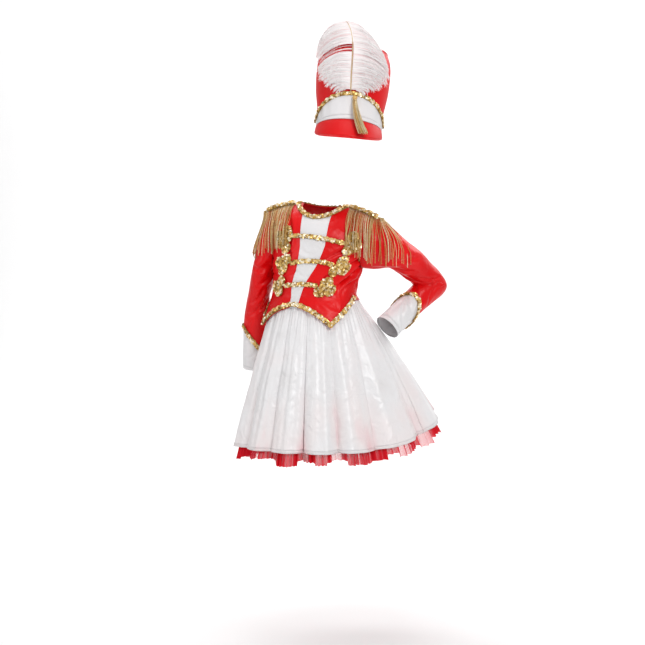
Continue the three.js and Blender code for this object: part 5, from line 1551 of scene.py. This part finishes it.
def makeHatBody():
    a = np.linspace(0, 360, 160, endpoint=False)[None, :]
    z = np.linspace(0, hat["seam"], 72)[:, None]
    ripple = 0.5 * softNoise(4 + 2 * cosD(a), 4 + 2 * sinD(a) + z * 0.02, 61)
    ripple = ripple - 0.9 * np.exp(-(((a - 180) / 1.2) ** 2))  # the seam at the back
    points = crownPoint(a, z, -0.8 + ripple - 0.5 * smooth(186, 190, z))
    outward = hatOut(a, points)
    part = clothPart(hatToRow(points), outward, closed=True)
    piece = buildPiece(
        "hatSide", [part], [hatSatin], ["hat_side_left", "hat_side_right"], hat["wall"]
    )

    share = np.linspace(1, 0.015, 34)[:, None]
    rim = crownPoint(a, np.full((1, 1), hat["seam"]))
    ripple = 0.5 * softNoise(share * 4 * cosD(a) + 9, share * 4 * sinD(a) + 9, 63)
    lift = hat["dome"] * np.maximum(1 - share**2.6, 0) ** 0.8 + hat["seam"] + 0.8 + ripple
    points = xyz(rim[..., 0] * share, rim[..., 1] * share, lift)
    part = clothPart(hatToRow(points), hatTurn(np.array([0.0, 0.0, 1.0])), closed=True)
    centre = len(part["points"].reshape(-1, 3))
    middle = hatToRow(np.array([0.0, 0.0, hat["seam"] + hat["dome"] + 0.8]))
    last = centre - a.size + np.arange(a.size)
    fan = np.stack([last, centre - a.size + (np.arange(a.size) + 1) % a.size, np.full(a.size, centre)], 1)
    flatPoints = np.concatenate([part["points"].reshape(-1, 3), middle[None]])
    corner = flatPoints[fan[0]]
    if np.cross(corner[1] - corner[0], corner[2] - corner[0])[2] < 0:
        fan = fan[:, ::-1]
    capUv = flatPoints[:, :2] * metre
    top = [
        {"points": flatPoints, "faces": part["faces"], "uv": capUv},
        {"points": flatPoints, "faces": fan, "uv": capUv},
    ]
    top = buildPiece("hatTop", mergedParts(top), [hatSatin], ["hat_top"], hat["wall"])

    a = np.linspace(-band["spread"], band["spread"], 130)[None, :]
    k = np.linspace(0, 1, 34)[:, None]
    z = lerp(bandLow(a) + 0.3, bandTop(a), k)
    wrinkled = 0.35 + 0.5 * smooth(-20, -60, a)
    pleat = wrinkled * np.sin(np.radians(a * 21) + 2 * sinD(a * 5))
    pleat = pleat + 0.35 * softNoise(a * 0.14 + 12, z * 0.03, 65)
    turnedEdge = 0.6 * (1 - smooth(6.2, 7.0, z - bandLow(a)))
    points = crownPoint(a, z, band["off"] + pleat * smooth(5, 14, z - bandLow(a)) + turnedEdge)
    part = clothPart(hatToRow(points), hatOut(a, points))
    piece = buildPiece("hatBand", [part], [bandSatin], ["hat_band"], band["wall"])

    a = np.linspace(-visor["spread"], visor["spread"], 130)[None, :]
    k = np.linspace(0, 1, 36)[:, None]
    size = cosD(a * 90 / (visor["spread"] + 1)) ** 0.5
    start = crownPoint(a, bandLow(a) * 0.99, band["off"])
    reach, drop = visor["out"] * size * k**0.8, 1.4 + visor["drop"] * size * k**1.15
    ripple = 0.3 * softNoise(a * 0.06 + 5, k * 3, 67)
    x = start[..., 0] + sinD(a) * (reach * 0.35 + ripple)
    y = start[..., 1] - cosD(a) * (reach + ripple)
    points = xyz(x, y, start[..., 2] - drop)[::-1]
    part = clothPart(hatToRow(points), hatOut(a, points))
    piece = buildPiece("hatVisor", [part], [hatSatin], ["hat_visor"], visor["wall"])


def mergedParts(parts):
    # two sets of faces over the same points, as one part: quads are split so that both are triangles
    points = parts[0]["points"]
    quads = [part["faces"] for part in parts]
    triangles = [f if f.shape[1] == 3 else np.concatenate([f[:, :3], f[:, [0, 2, 3]]]) for f in quads]
    return [{"points": points, "faces": np.concatenate(triangles), "uv": parts[0]["uv"]}]


def archPath(k):
    a = lerp(-band["spread"] + 1, band["spread"] - 1, np.asarray(k, float))
    z = bandTop(a) - 3
    lift = band["off"] + 0.1
    here = crownPoint(a, z, lift)
    alongA = crownPoint(a + 0.5, z, lift) - crownPoint(a - 0.5, z, lift)
    alongZ = crownPoint(a, z + 0.5, lift) - crownPoint(a, z - 0.5, lift)
    out = unit(np.cross(alongA, alongZ))
    out = out * np.sign(np.sum(out * xyz(sinD(a), -cosD(a), 0.0), -1, keepdims=True))
    return hatToRow(here), hatTurn(out)


def quillPoint(s):
    return xyz(read(quill, "x", s), read(quill, "y", s), read(quill, "z", s))


def vanePoint(s, q, side, lift=0.0):
    # along a barb: it arches out from the quill, droops more and more and wraps back round the crown
    wide, here = read(vane, "left" if side > 0 else "right", s), quillPoint(s)
    root = read(quill, "r", s) * 0.6
    out = root + (wide - root) * np.sin(q * 1.15) / math.sin(1.15)
    up = 0.1 * wide * np.sin(q * 2.2) - read(vane, "droop", s) * q**1.35
    behind = lambda x: hug["deep"] * (1 - np.sqrt(1 - np.minimum(np.abs(x) / hug["wide"], 0.98) ** 2))
    x = here[..., 0] + side * out
    return xyz(x, here[..., 1] + behind(x) - behind(here[..., 0]) - lift, here[..., 2] + up)


plume = {
    "barbs": 640, "levels": 16, "width": 1.0, "tufts": 9, "tuft": 7.0, "gap": (0.515, 0.62), "bunches": 52,
    "cling": 0.62,
}


def barbRibbons(lines, width, tone, random):
    # flat tapered ribbons, each a strip of quads whose width turns a little on its way
    n, levels = lines.shape[:2]
    along = unit(np.gradient(lines, axis=1))
    face = np.array([0.0, -1.0, 0.25]) + random.normal(0, 0.35, (n, 1, 3))
    across = unit(np.cross(along, face))
    half = np.broadcast_to(width, (n, levels))[..., None] / 2
    points = np.stack([lines - across * half, lines + across * half], 2)
    i, j = np.meshgrid(np.arange(n), np.arange(levels - 1), indexing="ij")
    a = (i * levels + j) * 2
    faces = np.stack([a.ravel(), (a + 1).ravel(), (a + 3).ravel(), (a + 2).ravel()], 1)
    share = np.linspace(0, 0.08, levels)
    u = np.arange(n)[:, None, None] * 0.013 + np.array([0, 0.001])[None, None]
    uv = np.stack(np.broadcast_arrays(u, share[None, :, None]), -1)
    return {
        "points": points.reshape(-1, 3), "faces": faces, "uv": uv.reshape(-1, 2),
        "tone": np.repeat(tone, levels * 2),
    }


def makePlume():
    for word, side in (("Left", 1), ("Right", -1)):
        random = np.random.default_rng(120 + side)
        n, levels = plume["barbs"], plume["levels"]
        s = lerp(0.02, 1.0, (np.arange(n) + random.uniform(0, 1, n)) / n)
        if side < 0:
            low, high = plume["gap"]
            moved = (s > low) & (s < high) & (random.uniform(0, 1, n) < 0.9)
            s = np.where(moved, random.uniform(0.7, 1.0, n), s)
        # barbs cling together towards their ends, in bunches of uneven length
        edges = np.sort(np.concatenate([[0, 1.0001], random.uniform(0, 1, plume["bunches"] - 1)]))
        bunch = np.clip(np.searchsorted(edges, s, side="right") - 1, 0, plume["bunches"] - 1)
        middle = (edges[bunch] + edges[bunch + 1]) / 2
        length = (random.uniform(0.9, 1.03, n) * random.uniform(0.9, 1.03, plume["bunches"])[bunch])[:, None]
        q = np.linspace(0.01, 1, levels)[None, :] * length
        lift = random.uniform(-1.5, 5.0, (n, 1)) * smooth(0, 0.4, q)
        at = lerp(s[:, None], middle[:, None], plume["cling"] * smooth(0.25, 1.0, q))
        lines = vanePoint(at, q, side, lift)
        curl = random.normal(0, 1.6, (n, 1)) * np.sin(q * 5 + random.uniform(0, 6.28, (n, 1)))
        curl = curl * smooth(0.1, 0.6, q) - random.uniform(0, 6, (n, 1)) * smooth(0.6, 1.1, q) ** 2
        lines = lines + xyz(0.0, 0.0, 1.0) * curl[..., None]
        width = plume["width"] * (1 - 0.75 * smooth(0.5, 1, q)) * random.uniform(0.8, 1.3, (n, 1))
        tone = np.clip(random.normal(0.55, 0.2, n), 0, 1)
        barbs = barbRibbons(hatToRow(lines), width, tone, random)
        # fine tufts along the outer half of each barb
        m = plume["tufts"]
        k = random.uniform(0.25, 1, (n, m))
        spot = k * (levels - 1)
        i = np.minimum(spot.astype(int), levels - 2)
        rowIndex = np.arange(n)[:, None]
        start = lerp(lines[rowIndex, i], lines[rowIndex, i + 1], (spot - i)[..., None])
        way = unit(lines[rowIndex, i + 1] - lines[rowIndex, i])
        droop = np.array([0.0, -0.25, -0.6]) + random.normal(0, 0.45, (n, m, 3))
        end = start + unit(way * 0.9 + droop) * (plume["tuft"] * random.uniform(0.5, 1.1, (n, m))[..., None])
        tufts = np.stack([start, (start + end) / 2 + way * 0.4, end], 2).reshape(n * m, 3, 3)
        fine = barbRibbons(hatToRow(tufts), np.array([[0.7, 0.55, 0.15]]), np.repeat(tone, m) + 0.1, random)
        buildPiece(f"plumeVane{word}", [barbs, fine], [fluff], [f"plume_vane_{word.lower()}"])
    s = np.linspace(0, 1, 60)
    stem = roundStem(hatToRow(quillPoint(s)), read(quill, "r", s) * 0.9)
    buildPiece("plumeQuill", [stem], [horn], ["plume_quill"])


def roundStem(line, radius, sides=12):
    # a tapered round stem along a line, closed at both ends by a middle point
    along = unit(np.gradient(line, axis=0))
    first = unit(np.cross(along, np.array([1.0, 0.05, 0.0])))
    second = np.cross(along, first)
    turn = np.arange(sides) / sides * 2 * math.pi
    rings = line[:, None] + ringOf(first, second, turn) * radius[:, None, None]
    n = len(line)
    quads = gridFaces(n, sides, True)
    triangles = np.concatenate([quads[:, :3], quads[:, [0, 2, 3]]])
    k = np.arange(sides)
    foot = np.stack([(k + 1) % sides, k, np.full(sides, n * sides)], 1)
    last = (n - 1) * sides
    head = np.stack([last + k, last + (k + 1) % sides, np.full(sides, n * sides + 1)], 1)
    faces = np.concatenate([triangles, foot, head])
    points = np.concatenate([rings.reshape(-1, 3), line[:1], line[-1:]])
    corner = points[faces]
    volume = np.sum(corner[:, 0] * np.cross(corner[:, 1], corner[:, 2]))
    return {"points": points, "faces": faces if volume > 0 else faces[:, ::-1]}


tassel = {
    "at": 4.5, "top": 62.8, "head": 12.0, "radius": 6.0, "off": 9.4, "strands": 76, "thick": 0.78,
    "length": 86.0, "spread": 12.5, "lean": 26.0, "swing": 28.0,
}


def makeTassel():
    random = np.random.default_rng(140)
    start = crownPoint(np.array(tassel["at"]), np.array(tassel["top"]), tassel["off"])
    n, levels = tassel["strands"], 14
    a = random.uniform(0, 6.28, n)[:, None]
    r = np.sqrt(random.uniform(0.02, 1, n))[:, None]
    k = np.linspace(0, 1, levels)[None, :]
    low = tassel["top"] - tassel["head"] + 2
    out = r * lerp(tassel["radius"] * 0.8, tassel["spread"], k**0.8)
    x = start[0] + np.cos(a) * out + tassel["lean"] * k**1.5
    x = x + random.normal(0, 1.0, (n, 1)) * np.sin(k * 6 + a) * k
    y = start[1] + np.sin(a) * r * tassel["radius"] * lerp(0.8, 1.1, k) - tassel["swing"] * k**1.4
    z = low - tassel["length"] * k * random.uniform(0.9, 1.0, (n, 1))
    tone = np.clip(random.normal(0.55, 0.3, n), 0, 1)
    cords = strandPart(hatToRow(xyz(x, y, z)), np.full((n, levels), tassel["thick"]), 4, random, tone)
    # the head: a turned form with a bound neck
    up = np.linspace(0, 1, 26)
    profile = tassel["radius"] * (0.72 + 0.28 * np.sin(up * 2.6))
    profile = profile * (1 - 0.22 * np.exp(-(((up - 0.3) / 0.07) ** 2)))
    profile = profile * np.where(up > 0.94, 0.6, 1) + 0.25 * np.sin(up * 60)
    line = xyz(start[0], start[1], low - 2 + up * (tassel["head"] + 0.2))
    head = roundStem(hatToRow(line), profile, 20)
    buildPiece("hatTassel", [cords, head], [goldCord], ["hat_tassel"])


print("hat")
makeHatBody()
braidPiece("hatBraid", "hat_braid", archPath, False, 80, braidCut["narrow"] + 1, rows=2)
makePlume()
makeTassel()
